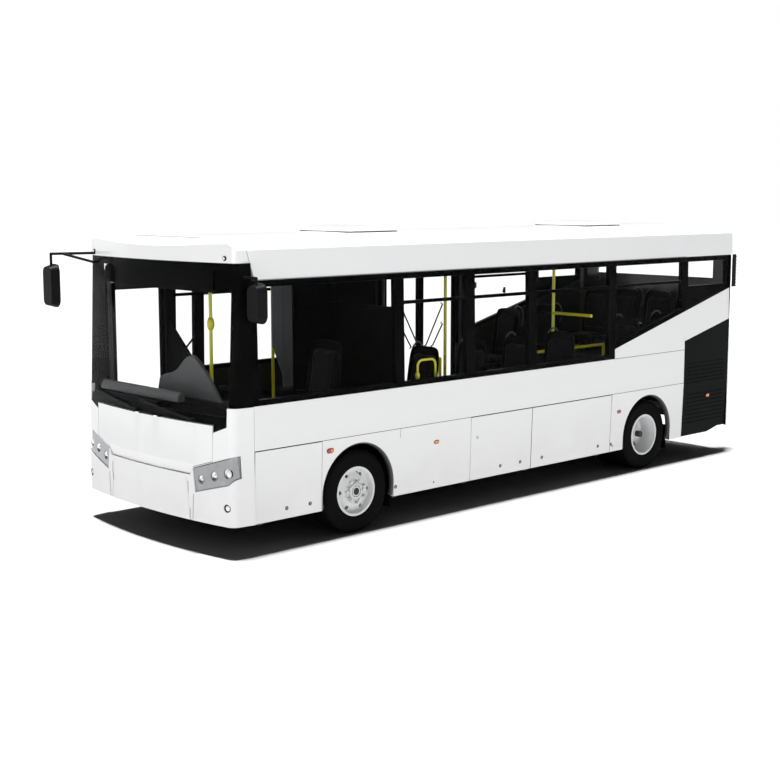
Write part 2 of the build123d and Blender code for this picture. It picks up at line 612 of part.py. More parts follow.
with BuildPart() as windscreen:
    front_shell(1120, DOME_Z - 3, 1, 1 + SCREEN_T)
    slab(-5000, FRONT_SEAM + 40, -1300, 1300, 0, 3000, mode=Mode.SUBTRACT)
    glass_edge = [(-PANEL_Y, PANEL_TOP_Z + 3), (-PANEL_Y - 3, 1113), (-WING_Y + 3, 1176),
                  (-WING_Y + 3, SILL_Z + 3), (-1300, SILL_Z + 3), (-1300, 2700), (1300, 2700),
                  (1300, SILL_Z + 3), (WING_Y - 3, SILL_Z + 3), (WING_Y - 3, 1176),
                  (PANEL_Y + 3, 1113), (PANEL_Y, PANEL_TOP_Z + 3)]
    extrude(polygon(Plane.YZ, glass_edge), amount=8000, mode=Mode.INTERSECT)
save(windscreen.part, "windscreen")

with BuildPart() as front_dome:
    for inset, mode in ((0, Mode.ADD), (SHELL_T, Mode.SUBTRACT)):
        with BuildPart() as core:
            extrude(front_plan(DOME_Z - 200, front_lean(DOME_Z), inset), amount=600)
            extrude(roof_face(BUMPER_X - 200, inset), amount=800, mode=Mode.INTERSECT)
            brow = [(BUMPER_X - 250, 2300), (NOSE_X, 2300), (NOSE_X, SHOULDER_Z - 20 - inset),
                    (NOSE_X - 130, 2738 - inset), (NOSE_X - 270, 2762 - inset),
                    (BUMPER_X, CROWN_Z + 5 - inset), (BUMPER_X - 250, CROWN_Z + 5 - inset)]
            extrude(polygon(across(0), brow), amount=HALF_WIDTH + 50, both=True, mode=Mode.INTERSECT)
        add(core.part, mode=mode)
    dome_side = [(dome_seam(DOME_Z) + 0.5, DOME_Z), (NOSE_X + 50, DOME_Z), (NOSE_X + 50, CROWN_Z + 50),
                 (DOME_SEAM_TOP + 0.5, CROWN_Z + 50), (DOME_SEAM_TOP + 0.5, SHOULDER_Z)]
    extrude(polygon(across(0), dome_side), amount=HALF_WIDTH + 50, both=True, mode=Mode.INTERSECT)
save(front_dome.part, "front_dome")

# ================================================================ rear
HOOD_Y = HALF_WIDTH - 400
HOOD_Z = (520.0, 1500.0)
REAR_WINDOW_Y = HALF_WIDTH - 300
REAR_WINDOW_Z = (CANT_Z - 299, CANT_Z - 44)
REAR_LAMP_Y = (HALF_WIDTH - 320, HALF_WIDTH - 140)
REAR_LAMP_Z = (700.0, 1180.0)
TAIL_SKIRT_Z = 335.0
HOOD_HINGE_R = 4.5
REAR_T = 40.0

with BuildPart() as rear_wall:
    extrude(rear_plan(TAIL_SKIRT_Z, 0), amount=CANT_Z - TAIL_SKIRT_Z)
    extrude(rear_plan(TAIL_SKIRT_Z, REAR_T), amount=CANT_Z - TAIL_SKIRT_Z, mode=Mode.SUBTRACT)
    slab(CORNER_X, CORNER_X + 300, -1300, 1300, 0, 3000, mode=Mode.SUBTRACT)
    slab(TAIL_X - 50, CORNER_X + 60, -HOOD_Y, HOOD_Y, *HOOD_Z, mode=Mode.SUBTRACT)
    slab(TAIL_X - 50, CORNER_X + 60, -REAR_WINDOW_Y, REAR_WINDOW_Y, *REAR_WINDOW_Z,
         mode=Mode.SUBTRACT)
    for side in (1, -1):
        slab(TAIL_X - 50, CORNER_X + 60, side * REAR_LAMP_Y[0], side * REAR_LAMP_Y[1], *REAR_LAMP_Z,
             mode=Mode.SUBTRACT)
    hinge_knuckles(TAIL_X - 2, HOOD_Z[1] - 5, HOOD_HINGE_R, False,
                   (TAIL_X - 2, TAIL_X + 12, HOOD_Z[1] - 5, HOOD_Z[1] + 6))
save(rear_wall.part, "rear_wall")

HOOD_RIDGES = ((600.0, 900.0, 7), (1020.0, 1360.0, 8))     # lowest, highest, count
HOOD_RIDGE_OUT = 8.0
HOOD_RIDGE_Y = HOOD_Y - 180
with BuildPart() as hood_ridges:
    for low, high, count in HOOD_RIDGES:
        for i in range(count):
            z = low + (high - low) * i / (count - 1)
            extrude(rear_plan(z, -HOOD_RIDGE_OUT), amount=16)
    extrude(rear_plan(HOOD_Z[0], 5), amount=1000, mode=Mode.SUBTRACT)
    slab(TAIL_X - 50, CORNER_X, -HOOD_RIDGE_Y, HOOD_RIDGE_Y, 0, 3000, mode=Mode.INTERSECT)

with BuildPart() as engine_hood:
    extrude(rear_plan(HOOD_Z[0] + SHUT, 0), amount=HOOD_Z[1] - HOOD_Z[0] - 2 * SHUT)
    extrude(rear_plan(HOOD_Z[0], FLAP_T), amount=2000, mode=Mode.SUBTRACT)
    slab(TAIL_X - 50, CORNER_X + 20, -HOOD_Y + SHUT, HOOD_Y - SHUT, 0, 3000, mode=Mode.INTERSECT)
    add(hood_ridges.part)
    hinge_knuckles(TAIL_X - 2, HOOD_Z[1] - 5, HOOD_HINGE_R, True,
                   (TAIL_X - 2, TAIL_X + 12, HOOD_Z[1] - 20, HOOD_Z[1] - 5))
save(engine_hood.part, "engine_hood")

with BuildPart() as rear_glass:
    height = REAR_WINDOW_Z[1] - REAR_WINDOW_Z[0] - 2 * SEAT_GAP
    extrude(rear_plan(REAR_WINDOW_Z[0] + SEAT_GAP, 2), amount=height)
    extrude(rear_plan(REAR_WINDOW_Z[0], 2 + GLASS_T), amount=1000, mode=Mode.SUBTRACT)
    edge = REAR_WINDOW_Y - SEAT_GAP
    slab(TAIL_X - 50, CORNER_X + 20, -edge, edge, 0, 3000, mode=Mode.INTERSECT)
save(rear_glass.part, "rear_glass")

with BuildPart() as tail_lamps:
    height = REAR_LAMP_Z[1] - REAR_LAMP_Z[0] - 2 * SEAT_GAP
    extrude(rear_plan(REAR_LAMP_Z[0] + SEAT_GAP, -4), amount=height)
    extrude(rear_plan(REAR_LAMP_Z[0], REAR_T), amount=1000, mode=Mode.SUBTRACT)
    inner, outer = REAR_LAMP_Y[0] + SEAT_GAP, REAR_LAMP_Y[1] - SEAT_GAP
    slab(TAIL_X - 50, CORNER_X + 200, -inner, inner, 0, 3000, mode=Mode.SUBTRACT)
    slab(TAIL_X - 50, CORNER_X + 20, -outer, outer, 0, 3000, mode=Mode.INTERSECT)
save(tail_lamps.part, "tail_lamps")

LOUVRE_Y = (HALF_WIDTH - 270, HALF_WIDTH - 90)
LOUVRE_Z = (CANT_Z - 399, CANT_Z - 4)
LOUVRE_BACK = REAR_AXLE - 1862
LOUVRE_FINS = 10
with BuildPart() as rear_louvre:
    foot_x = CORNER_X - 102
    slab(foot_x - 10, foot_x, *LOUVRE_Y, *LOUVRE_Z)
    for y in (LOUVRE_Y[0], LOUVRE_Y[1] - 8):
        slab(foot_x - 4, LOUVRE_BACK + 15, y, y + 8, *LOUVRE_Z)
    pitch = (LOUVRE_Z[1] - LOUVRE_Z[0]) / LOUVRE_FINS
    for i in range(LOUVRE_FINS):
        z = LOUVRE_Z[0] + i * pitch
        fin = [(foot_x - 10, z + 16), (LOUVRE_BACK, z), (LOUVRE_BACK, z + 14), (foot_x - 10, z + 26)]
        extrude(polygon(across(LOUVRE_Y[1]), fin), amount=LOUVRE_Y[1] - LOUVRE_Y[0])
save(rear_louvre.part, "rear_louvre")

# ================================================================ flaps and side doors
for name, (rear, front) in LEFT_FLAPS.items():
    with BuildPart() as flap:
        skin = layer(1, 0, FLAP_T - 1, SKIRT_Z, SEAM_Z - SHUT)
        extrude(polygon(Plane.YZ.offset(rear + SHUT / 2), skin), amount=front - rear - SHUT)
    save(flap.part, name)

RADIATOR_RISE_X = REAR_AXLE - 1219
RADIATOR_TAIL_X = REAR_AXLE - 1435
RADIATOR_SKIRT_Z = 345.0
RIDGES = ((450, 790, 8), (930, 1160, 6))      # lowest, highest, count
RIDGE_OUT = 9.0
with BuildPart() as radiator_door:
    skin = layer(1, 0, FLAP_T, SKIRT_Z, 1700)
    extrude(polygon(Plane.YZ.offset(CORNER_X), skin), amount=BAY_5_X - CORNER_X)
    slope = (BAND_LOW_REAR_Z - BAND_LOW_Z) / (BAY_5_X - CORNER_X)
    edge = [(BAY_5_X - SHUT, SKIRT_Z + 8), (RADIATOR_RISE_X, SKIRT_Z + 8),
            (RADIATOR_TAIL_X, RADIATOR_SKIRT_Z), (CORNER_X + SHUT, RADIATOR_SKIRT_Z),
            (CORNER_X + SHUT, BAND_LOW_REAR_Z - SHUT), (BAY_5_X - SHUT, BAND_LOW_Z - SHUT)]
    extrude(polygon(across(0), edge), amount=-HALF_WIDTH - 50, mode=Mode.INTERSECT)
    for low, high, count in RIDGES:
        for i in range(count):
            z = low + (high - low) * i / (count - 1)
            y = side_y(z) - 2
            ridge = [(y, z - 12), (y + RIDGE_OUT, z - 4), (y + RIDGE_OUT, z), (y, z + 4)]
            extrude(polygon(Plane.YZ.offset(CORNER_X + 80), ridge),
                    amount=BAY_5_X - CORNER_X - 160)
save(radiator_door.part, "radiator_door")

with BuildPart() as rear_corners:
    for side in (1, -1):
        skin = layer(side, 0, HALF_WIDTH - WALL_INNER, SKIRT_Z + 8, SILL_Z)
        extrude(polygon(Plane.YZ.offset(CORNER_X), skin), amount=BAY_5_X - CORNER_X)
    slope_cut = [(BAY_5_X, 0), (RADIATOR_RISE_X, 0), (CORNER_X, 0), (CORNER_X, RADIATOR_SKIRT_Z),
                 (RADIATOR_TAIL_X, RADIATOR_SKIRT_Z), (RADIATOR_RISE_X, SKIRT_Z + 8),
                 (BAY_5_X, SKIRT_Z + 8)]
    extrude(polygon(across(0), slope_cut), amount=HALF_WIDTH + 50, both=True, mode=Mode.SUBTRACT)
    slab(CORNER_X + 60, BAY_5_X - 60, 1000, 1300, 400, 1300, mode=Mode.SUBTRACT)
    add(door_pocket.part, mode=Mode.SUBTRACT)
save(rear_corners.part, "rear_corners")

# ================================================================ passenger doors
# Each leaf: the post stands beside one jamb, two arms swing the leaf's middle,
# and the free edge runs along a guide, so arm and half leaf are equally long.


def leaf_arm(width):
    return (width + POST_SIDE - GUIDE_OVER) / 2


def door(prefix, jamb, direction, width):
    """Post with its arms, and leaf; direction points from the jamb into the doorway."""
    post_x = jamb + direction * (SHUT + 2 - POST_SIDE)
    arm = leaf_arm(width)
    pin_x = post_x + direction * arm
    guide_x = post_x + direction * 2 * arm
    edge_0 = post_x + direction * POST_SIDE
    edge_1 = edge_0 + direction * width
    glass_0, glass_1 = edge_0 + direction * STILE_W, edge_1 - direction * STILE_W
    arm_top = DOOR_TOP + ARM_CLEAR
    arm_low = DOOR_BOTTOM - ARM_CLEAR - ARM_T
    with BuildPart() as post:
        bar_z(post_x, GUIDE_Y, POST_R, arm_low, arm_top + ARM_T)
        bar_z(post_x, GUIDE_Y, JOURNAL_R, FLOOR_Z + 1, arm_low)
        bar_z(post_x, GUIDE_Y, JOURNAL_R, arm_top + ARM_T, arm_top + ARM_T + 30)
        for z in (arm_low, arm_top):
            with BuildSketch(Plane.XY.offset(z)) as blade:
                with Locations(((post_x + pin_x) / 2, GUIDE_Y)):
                    SlotCenterToCenter(arm, 36)
                with Locations((pin_x, GUIDE_Y)):
                    Circle(PIN_R + 1, mode=Mode.SUBTRACT)
            extrude(blade.sketch, amount=ARM_T)
    save(post.part, prefix + "_post")
    with BuildPart() as leaf:
        slab(edge_0, edge_1, -LEAF_OUT, -LEAF_OUT + LEAF_T, DOOR_BOTTOM, DOOR_TOP)
        slab(glass_0, glass_1, -LEAF_OUT, -LEAF_OUT + LEAF_T, DOOR_BOTTOM + STILE_H,
             DOOR_TOP - STILE_H, mode=Mode.SUBTRACT)
        for z0, z1, tip in ((DOOR_TOP - 14, DOOR_TOP, 1), (DOOR_BOTTOM, DOOR_BOTTOM + 14, -1)):
            slab(pin_x - 20, pin_x + 20, -LEAF_OUT + LEAF_T - 1, GUIDE_Y + 14, z0, z1)
            stub = (z1, z1 + ARM_CLEAR + ARM_T) if tip > 0 else (z0 - ARM_CLEAR - ARM_T, z0)
            bar_z(pin_x, GUIDE_Y, PIN_R, *stub)
        slab(guide_x - 11, guide_x + 11, -LEAF_OUT + LEAF_T - 1, GUIDE_Y + 11, DOOR_TOP - 14, DOOR_TOP)
        bar_z(guide_x, GUIDE_Y, PIN_R, DOOR_TOP, arm_top + ARM_T + 28)
    save(leaf.part, prefix + "_leaf")
    with BuildPart() as glass:
        slab(glass_0 + direction * SEAT_GAP, glass_1 - direction * SEAT_GAP, -LEAF_OUT + GLASS_T,
             -LEAF_OUT + 2 * GLASS_T, DOOR_BOTTOM + STILE_H + SEAT_GAP, DOOR_TOP - STILE_H - SEAT_GAP)
    save(glass.part, prefix + "_glass")
    return post_x, guide_x


FRONT_LEAF_W = DOOR_FRONT[1] - DOOR_FRONT[0] - 2 * (SHUT + 2)
MID_LEAF_W = (DOOR_MID[1] - DOOR_MID[0] - 3 * (SHUT + 2)) / 2
tracks = [door("door_front", DOOR_FRONT[1], -1, FRONT_LEAF_W),
          door("door_mid_a", DOOR_MID[1], -1, MID_LEAF_W),
          door("door_mid_b", DOOR_MID[0], 1, MID_LEAF_W)]

HEADER_Z = DOOR_TOP + ARM_CLEAR + ARM_T + 10
HEADER_H = 60.0
HEADER_OVER = 52.0
with BuildPart() as door_gear:
    for rear, front in (DOOR_FRONT, DOOR_MID):
        slab(rear - HEADER_OVER, front + HEADER_OVER, GLASS_LEAN + 0.5 - WALL_INNER, GUIDE_Y + 60,
             HEADER_Z, HEADER_Z + HEADER_H)
    for post_x, guide_x in tracks:
        near = post_x + (40 if guide_x > post_x else -40)
        slab(near, guide_x, GUIDE_Y - PIN_R - 2, GUIDE_Y + PIN_R + 2, HEADER_Z - 1, HEADER_Z + 30,
             mode=Mode.SUBTRACT)
        bar_z(post_x, GUIDE_Y, JOURNAL_R + 1, HEADER_Z - 1, HEADER_Z + 30, mode=Mode.SUBTRACT)
        bar_z(guide_x, GUIDE_Y, PIN_R + 2, HEADER_Z - 1, HEADER_Z + 30, mode=Mode.SUBTRACT)
        bar_z(post_x, GUIDE_Y, JOURNAL_R + 14, FLOOR_Z, FLOOR_Z + 5)
        bar_z(post_x, GUIDE_Y, JOURNAL_R + 1, FLOOR_Z - 1, FLOOR_Z + 6, mode=Mode.SUBTRACT)
save(door_gear.part, "door_gear")

# ================================================================ floor and chassis
FLOOR_FRONT = BUMPER_X - 20
# (rear end, front end, side, inner edge) of the raised floors
PODIUMS = ((STEP_1_X - 5, FRONT_AXLE - HOUSING_HALF - 5, 1, PODIUM_Y),
           (DOOR_MID[1] + 150, FRONT_AXLE - HOUSING_HALF - 5, -1, PODIUM_Y),
           (FRONT_AXLE + HOUSING_HALF + 5, BUMPER_X - 40, 1, DRIVER_FLOOR_Y))
with BuildPart() as floor:
    top = [(FLOOR_FRONT, FLOOR_Z), (STEP_1_X, FLOOR_Z), (STEP_1_X, STEP_Z), (STEP_2_X, STEP_Z),
           (STEP_2_X, PLATFORM_Z), (BULKHEAD_X, PLATFORM_Z), (BULKHEAD_X, ENGINE_DECK_Z),
           (CORNER_X, ENGINE_DECK_Z)]
    under = [(CORNER_X, ENGINE_DECK_Z - FLOOR_T), (BULKHEAD_X - FLOOR_T, ENGINE_DECK_Z - FLOOR_T),
             (BULKHEAD_X - FLOOR_T, PLATFORM_Z - FLOOR_T), (STEP_2_X - FLOOR_T, PLATFORM_Z - FLOOR_T),
             (STEP_2_X - FLOOR_T, STEP_Z - FLOOR_T), (STEP_1_X - FLOOR_T, STEP_Z - FLOOR_T),
             (STEP_1_X - FLOOR_T, FLOOR_Z - FLOOR_T), (FLOOR_FRONT, FLOOR_Z - FLOOR_T)]
    extrude(polygon(across(WALL_INNER), top + under), amount=2 * WALL_INNER)
    with BuildSketch(Plane.XY.offset(FLOOR_Z - FLOOR_T)) as cab_floor:
        add(front_plan(FLOOR_Z - FLOOR_T, 0, SHELL_T + 0.5))
        with Locations((FLOOR_FRONT - 1 + 250, 0)):
            Rectangle(502, 2 * WALL_INNER, mode=Mode.INTERSECT)
    extrude(cab_floor.sketch, amount=FLOOR_T)
    for rear, front, side, inner in PODIUMS:
        edge = WALL_INNER - 0.5
        slab(rear, front, side * inner, side * edge, FLOOR_Z - 1, PODIUM_Z)
        slab(rear + PODIUM_T, front - PODIUM_T, side * (inner + PODIUM_T), side * (edge + 1),
             FLOOR_Z, PODIUM_Z - PODIUM_T, mode=Mode.SUBTRACT)
    for side in (1, -1):
        for axle, inner in ((FRONT_AXLE, FRONT_HOUSING_Y), (REAR_AXLE, REAR_HOUSING_Y)):
            slab(axle - HOUSING_HALF, axle + HOUSING_HALF, side * inner, side * 1300, 0, HOUSING_TOP,
                 mode=Mode.SUBTRACT)
save(floor.part, "floor")

with BuildPart() as wheel_housings:
    for side in (1, -1):
        for axle, inner in ((FRONT_AXLE, FRONT_HOUSING_Y), (REAR_AXLE, REAR_HOUSING_Y)):
            low = FLOOR_Z - FLOOR_T if axle == FRONT_AXLE else PLATFORM_Z - FLOOR_T
            slab(axle - HOUSING_HALF, axle + HOUSING_HALF, side * inner, side * WALL_INNER,
                 low, HOUSING_TOP)
            slab(axle - HOUSING_HALF + HOUSING_T, axle + HOUSING_HALF - HOUSING_T,
                 side * (inner + HOUSING_T), side * (WALL_INNER + 10), low - 10,
                 HOUSING_TOP - HOUSING_T, mode=Mode.SUBTRACT)
save(wheel_housings.part, "wheel_housings")

RAIL_FRONT = CAB_X - 330
with BuildPart() as chassis_frame:
    axle_gap = 150
    low_top = FLOOR_Z - FLOOR_T
    rail = [(RAIL_FRONT, RAIL_Z), (RAIL_FRONT, low_top), (STEP_1_X - 70, low_top),
            (STEP_2_X - 170, 640), (CORNER_X + 60, 640), (CORNER_X + 60, 540),
            (STEP_2_X - 150, 540), (STEP_1_X - 90, RAIL_Z), (FRONT_AXLE - 420, RAIL_Z),
            (FRONT_AXLE - 300, 310), (FRONT_AXLE + axle_gap, 310), (FRONT_AXLE + 260, RAIL_Z)]
    for side in (1, -1):
        extrude(polygon(across(side * RAIL_Y + RAIL_W / 2), rail), amount=RAIL_W)
    for x in (RAIL_FRONT - 60, FRONT_AXLE - 540, BAY_2_X, BAY_3_X, BAY_4_X + 120):
        slab(x - 35, x + 35, -WALL_INNER + 40, WALL_INNER - 40, RAIL_Z + 20, low_top)
    for x in (REAR_AXLE + 330, REAR_AXLE - 560, CORNER_X + 100):
        slab(x - 30, x + 30, -RAIL_Y, RAIL_Y, 555, 625)
    slab(BAY_2_X + 120, BAY_1_X - 120, 120 - HALF_WIDTH, 580 - HALF_WIDTH, 190, low_top - SEAT_GAP)
save(chassis_frame.part, "chassis_frame")

# ================================================================ axles and wheels
BEAM_W = 90.0
with BuildPart() as front_axle:
    tip, bend = KINGPIN_Y - 30, KINGPIN_Y - 280
    beam = [(-tip, 345), (-bend, 215), (bend, 215), (tip, 345), (tip, 435), (tip - 50, 435),
            (bend - 40, 290), (40 - bend, 290), (50 - tip, 435), (-tip, 435)]
    extrude(polygon(Plane.YZ.offset(FRONT_AXLE - BEAM_W / 2), beam), amount=BEAM_W)
    for side in (1, -1):
        slab(FRONT_AXLE - BEAM_W / 2, FRONT_AXLE + BEAM_W / 2, side * (RAIL_Y - RAIL_W / 2),
             side * (RAIL_Y + RAIL_W / 2), 280, 310 - SEAT_GAP)
    for side in (1, -1):
        bar_z(FRONT_AXLE, side * KINGPIN_Y, 38, 335, 462)
        bar_z(FRONT_AXLE, side * KINGPIN_Y, KINGPIN_R, 295, 502)
save(front_axle.part, "front_axle")

SPINDLE_R = 35.0
DRUM_R = 150.0
for side, name in ((1, "knuckle_left"), (-1, "knuckle_right")):
    y_pin = side * KINGPIN_Y
    with BuildPart() as knuckle:
        slab(FRONT_AXLE - 60, FRONT_AXLE + 60, y_pin + side * 48, y_pin + side * 72, 300, 497)
        for z0, z1 in ((300, 328), (469, 497)):
            slab(FRONT_AXLE - 32, FRONT_AXLE + 32, y_pin, y_pin + side * 50, z0, z1)
            bar_z(FRONT_AXLE, y_pin, 32, z0, z1)
            bar_z(FRONT_AXLE, y_pin, KINGPIN_R + 0.5, z0 - 1, z1 + 1, mode=Mode.SUBTRACT)
        bar_y(FRONT_AXLE, TYRE_R, SPINDLE_R, y_pin + side * 71, y_pin + side * 235)
        bar_y(FRONT_AXLE, TYRE_R, DRUM_R, y_pin + side * 72, y_pin + side * 165)
        slab(FRONT_AXLE - STEER_ARM, FRONT_AXLE - 28, y_pin - 16, y_pin + 16, 300, 324)
        bar_z(FRONT_AXLE - STEER_ARM, y_pin, 22, 300, 324)
        bar_z(FRONT_AXLE - STEER_ARM, y_pin, 9, 270, 301)
    save(knuckle.part, name)

with BuildPart() as tie_rod:
    bar_y(FRONT_AXLE - STEER_ARM, 280, 14, -KINGPIN_Y + 20, KINGPIN_Y - 20)
    for side in (1, -1):
        bar_z(FRONT_AXLE - STEER_ARM, side * KINGPIN_Y, 24, 266, 294)
        bar_z(FRONT_AXLE - STEER_ARM, side * KINGPIN_Y, 9.5, 260, 299, mode=Mode.SUBTRACT)
save(tie_rod.part, "tie_rod")

with BuildPart() as rear_axle:
    bar_y(REAR_AXLE, TYRE_R, 65, 500 - HALF_WIDTH, HALF_WIDTH - 500)
    bar_y(REAR_AXLE, TYRE_R, DRUM_R, -110, 110)
    bar_y(REAR_AXLE, TYRE_R, SPINDLE_R, 100 - HALF_WIDTH, HALF_WIDTH - 100)
    for side in (1, -1):
        slab(REAR_AXLE - 50, REAR_AXLE + 50, side * (RAIL_Y - RAIL_W / 2), side * (RAIL_Y + RAIL_W / 2),
             TYRE_R, 540 - SEAT_GAP)
        bar_y(REAR_AXLE, TYRE_R, DRUM_R, side * (HALF_WIDTH - 600), side * (HALF_WIDTH - 446))
save(rear_axle.part, "rear_axle")

TYRE_PROFILE = [(222, -95), (240, -108), (300, -117), (350, -115), (385, -104), (398.5, -84),
                (398.5, 84), (385, 104), (350, 115), (300, 117), (240, 108), (222, 95)]
DISC_BORE = SPINDLE_R + SEAT_GAP
HAND_HOLES = 6
HOLE_PITCH_R = 173.0
HOLE_R = 19.0
NUT_PITCH_R = 102.5
NUT_R = 16.0
HUB_R = 76.0


def ring(points, x, y, side):
    """Body turned about the wheel's axis from (radius, outboard offset) points."""
    plane = Plane(origin=(x, y, TYRE_R), x_dir=(0, 0, 1), z_dir=(1, 0, 0))
    turned = [(r, -side * d) for r, d in points]
    revolve(polygon(plane, turned), axis=Axis((x, y, TYRE_R), (0, 1, 0)))


FRONT_RIM = [(214, -112), (RIM_FLANGE_R, -112), (RIM_FLANGE_R, -108), (RIM_SEAT_R, -96),
             (RIM_SEAT_R, -90), (210, -50), (210, 50), (RIM_SEAT_R, 90), (RIM_SEAT_R, 96),
             (RIM_FLANGE_R, 108), (RIM_FLANGE_R, 112), (214, 112), (204, 60), (150, 84),
             (126, 90), (HUB_R, 90), (HUB_R, 112), (60, 116), (DISC_BORE, 116), (DISC_BORE, 30),
             (90, 30), (100, 70), (150, 66), (198, 30), (200, -50)]
TWIN_MID = TWIN_PITCH / 2      # the two discs meet halfway
TWIN_RIM = [(214, -112), (RIM_FLANGE_R, -112), (RIM_FLANGE_R, -108), (RIM_SEAT_R, -96),
            (RIM_SEAT_R, -90), (210, -50), (210, 50), (RIM_SEAT_R, 90), (RIM_SEAT_R, 96),
            (RIM_FLANGE_R, 108), (RIM_FLANGE_R, 112), (214, 112), (200, 50), (194, -70),
            (150, -104), (100, -104), (100, -20), (60, 10), (DISC_BORE, 10), (DISC_BORE, -TWIN_MID),
            (150, -TWIN_MID), (150, -118), (198, -84), (200, -50)]
WHEELS = {"wheel_front_left": (FRONT_AXLE, 1), "wheel_front_right": (FRONT_AXLE, -1),
          "wheel_rear_left": (REAR_AXLE, 1), "wheel_rear_right": (REAR_AXLE, -1)}
for name, (axle, side) in WHEELS.items():
    twin = axle == REAR_AXLE
    with BuildPart() as tyre:
        ring(TYRE_PROFILE, axle, side * FRONT_WHEEL_Y, side)
        if twin:
            ring(TYRE_PROFILE, axle, side * TWIN_INNER_Y, side)
    save(tyre.part, name + "_tyre")
    # (nearest, farthest distance out from the wheel's middle) of the hand holes and nuts
    hole_ends, nut_ends = ((-215, -50), (-106, -80)) if twin else ((20, 110), (89, 115))
    nut_pitch_r = NUT_PITCH_R + 22 if twin else NUT_PITCH_R
    with BuildPart() as rim:
        ring(TWIN_RIM if twin else FRONT_RIM, axle, side * FRONT_WHEEL_Y, side)
        if twin:
            inner = [(r, -d) for r, d in TWIN_RIM]
            ring(inner, axle, side * TWIN_INNER_Y, side)
        for ends, pitch_r, r, mode in ((hole_ends, HOLE_PITCH_R, HOLE_R, Mode.SUBTRACT),
                                       (nut_ends, nut_pitch_r, NUT_R, Mode.ADD)):
            face = Plane(origin=(axle, side * (FRONT_WHEEL_Y + ends[0]), TYRE_R), x_dir=(1, 0, 0),
                         z_dir=(0, side, 0))
            with BuildSketch(face) as spots:
                with PolarLocations(pitch_r, HAND_HOLES):
                    Circle(r)
            extrude(spots.sketch, amount=ends[1] - ends[0], mode=mode)
    save(rim.part, name + "_rim")

# ================================================================ engine
with BuildPart() as engine_block:
    edge = RAIL_Y - RAIL_W / 2 - SEAT_GAP
    slab(CORNER_X + 160, REAR_AXLE - 700, -edge, edge, 480, 1060)
save(engine_block.part, "engine_block")

# ================================================================ cabin
WHEEL_R = 225.0
WHEEL_TILT = 25.0
STEER_X = CAB_X - 640
STEER_Y = 560.0
STEER_Z = 1330.0
steer_plane = Plane(origin=(STEER_X, STEER_Y, STEER_Z),
                    x_dir=(cos(radians(WHEEL_TILT)), 0, sin(radians(WHEEL_TILT))),
                    z_dir=(-sin(radians(WHEEL_TILT)), 0, cos(radians(WHEEL_TILT))))
DASH_TOP = 1290.0
with BuildPart() as dashboard:
    profile = [(CAB_X - 130, 950), (CAB_X - 130, DASH_TOP - 60), (CAB_X - 180, DASH_TOP),
               (CAB_X - 560, DASH_TOP - 20), (CAB_X - 600, DASH_TOP - 160),
               (CAB_X - 480, DASH_TOP - 300), (CAB_X - 300, 950)]
    extrude(polygon(across(WALL_INNER - 30), profile), amount=WALL_INNER - 130)
    sill = [(NOSE_X - 20, 950), (NOSE_X - 20, DASH_TOP), (CAB_X - 150, DASH_TOP), (CAB_X - 150, 950)]
    extrude(polygon(across(101), sill), amount=WALL_INNER + 40)
    extrude(front_plan(880, front_lean(DASH_TOP) + 2, SCREEN_T + SCREEN_FRAME_T + 2), amount=600,
            mode=Mode.INTERSECT)
    slab(CAB_X - 420, CAB_X - 300, 500, 600, PODIUM_Z + 0.5, 960)
    with BuildSketch(steer_plane.offset(-420)) as column:
        Circle(28)
    extrude(column.sketch, amount=409)
save(dashboard.part, "dashboard")

with BuildPart() as steering_wheel:
    with BuildSketch(Plane(origin=steer_plane.origin, x_dir=steer_plane.x_dir,
                           z_dir=steer_plane.y_dir)) as grip:
        with Locations((WHEEL_R, 0)):
            Circle(15)
    revolve(grip.sketch, axis=Axis(steer_plane.origin, steer_plane.z_dir))
    with BuildSketch(steer_plane.offset(-10)) as spokes:
        Circle(55)
        with PolarLocations(0, 3, start_angle=90):
            Rectangle(WHEEL_R - 3, 30, align=(Align.MIN, Align.CENTER))
    extrude(spokes.sketch, amount=20)
save(steering_wheel.part, "steering_wheel")

SEAT_W = 430.0
SEAT_Y = WALL_INNER - 20 - SEAT_W


def seat_outline(x, z):
    """Side outline of a seat shell facing +X, x at the back's foot and z at the cushion's top."""
    return [(x - 20, z - 40), (x + 400, z - 60), (x + 420, z), (x + 30, z - 10),
            (x - 70, z + 560), (x - 110, z + 600), (x - 140, z + 590), (x - 60, z - 10)]


# (station, floor height, sides) of the seat rows
SEAT_ROWS = ((REAR_AXLE + 3440, PODIUM_Z, (1, -1)), (REAR_AXLE + 2740, PODIUM_Z, (1, -1)),
             (REAR_AXLE + 2040, PODIUM_Z, (1,)), (REAR_AXLE + 1340, PODIUM_Z, (1,)),
             (REAR_AXLE + 180, HOUSING_TOP, (1, -1)), (REAR_AXLE - 560, HOUSING_TOP, (1, -1)))
with BuildPart() as passenger_seats:
    for x, z, sides in SEAT_ROWS:
        for side in sides:
            lift = 430 if z == PODIUM_Z else 260
            y0, y1 = sorted((side * SEAT_Y, side * (SEAT_Y + SEAT_W)))
            extrude(polygon(across(y1), seat_outline(x, z + lift)), amount=SEAT_W)
            slab(x + 120, x + 260, (y0 + y1) / 2 - 60, (y0 + y1) / 2 + 60, z, z + lift - 45)
    for i in range(4):
        y1 = 955 - i * 480
        x = CORNER_X + 260
        extrude(polygon(across(y1), seat_outline(x, ENGINE_DECK_Z + 200)), amount=SEAT_W)
        slab(x + 120, x + 260, y1 - SEAT_W / 2 - 60, y1 - SEAT_W / 2 + 60, ENGINE_DECK_Z,
             ENGINE_DECK_Z + 155)
save(passenger_seats.part, "passenger_seats")

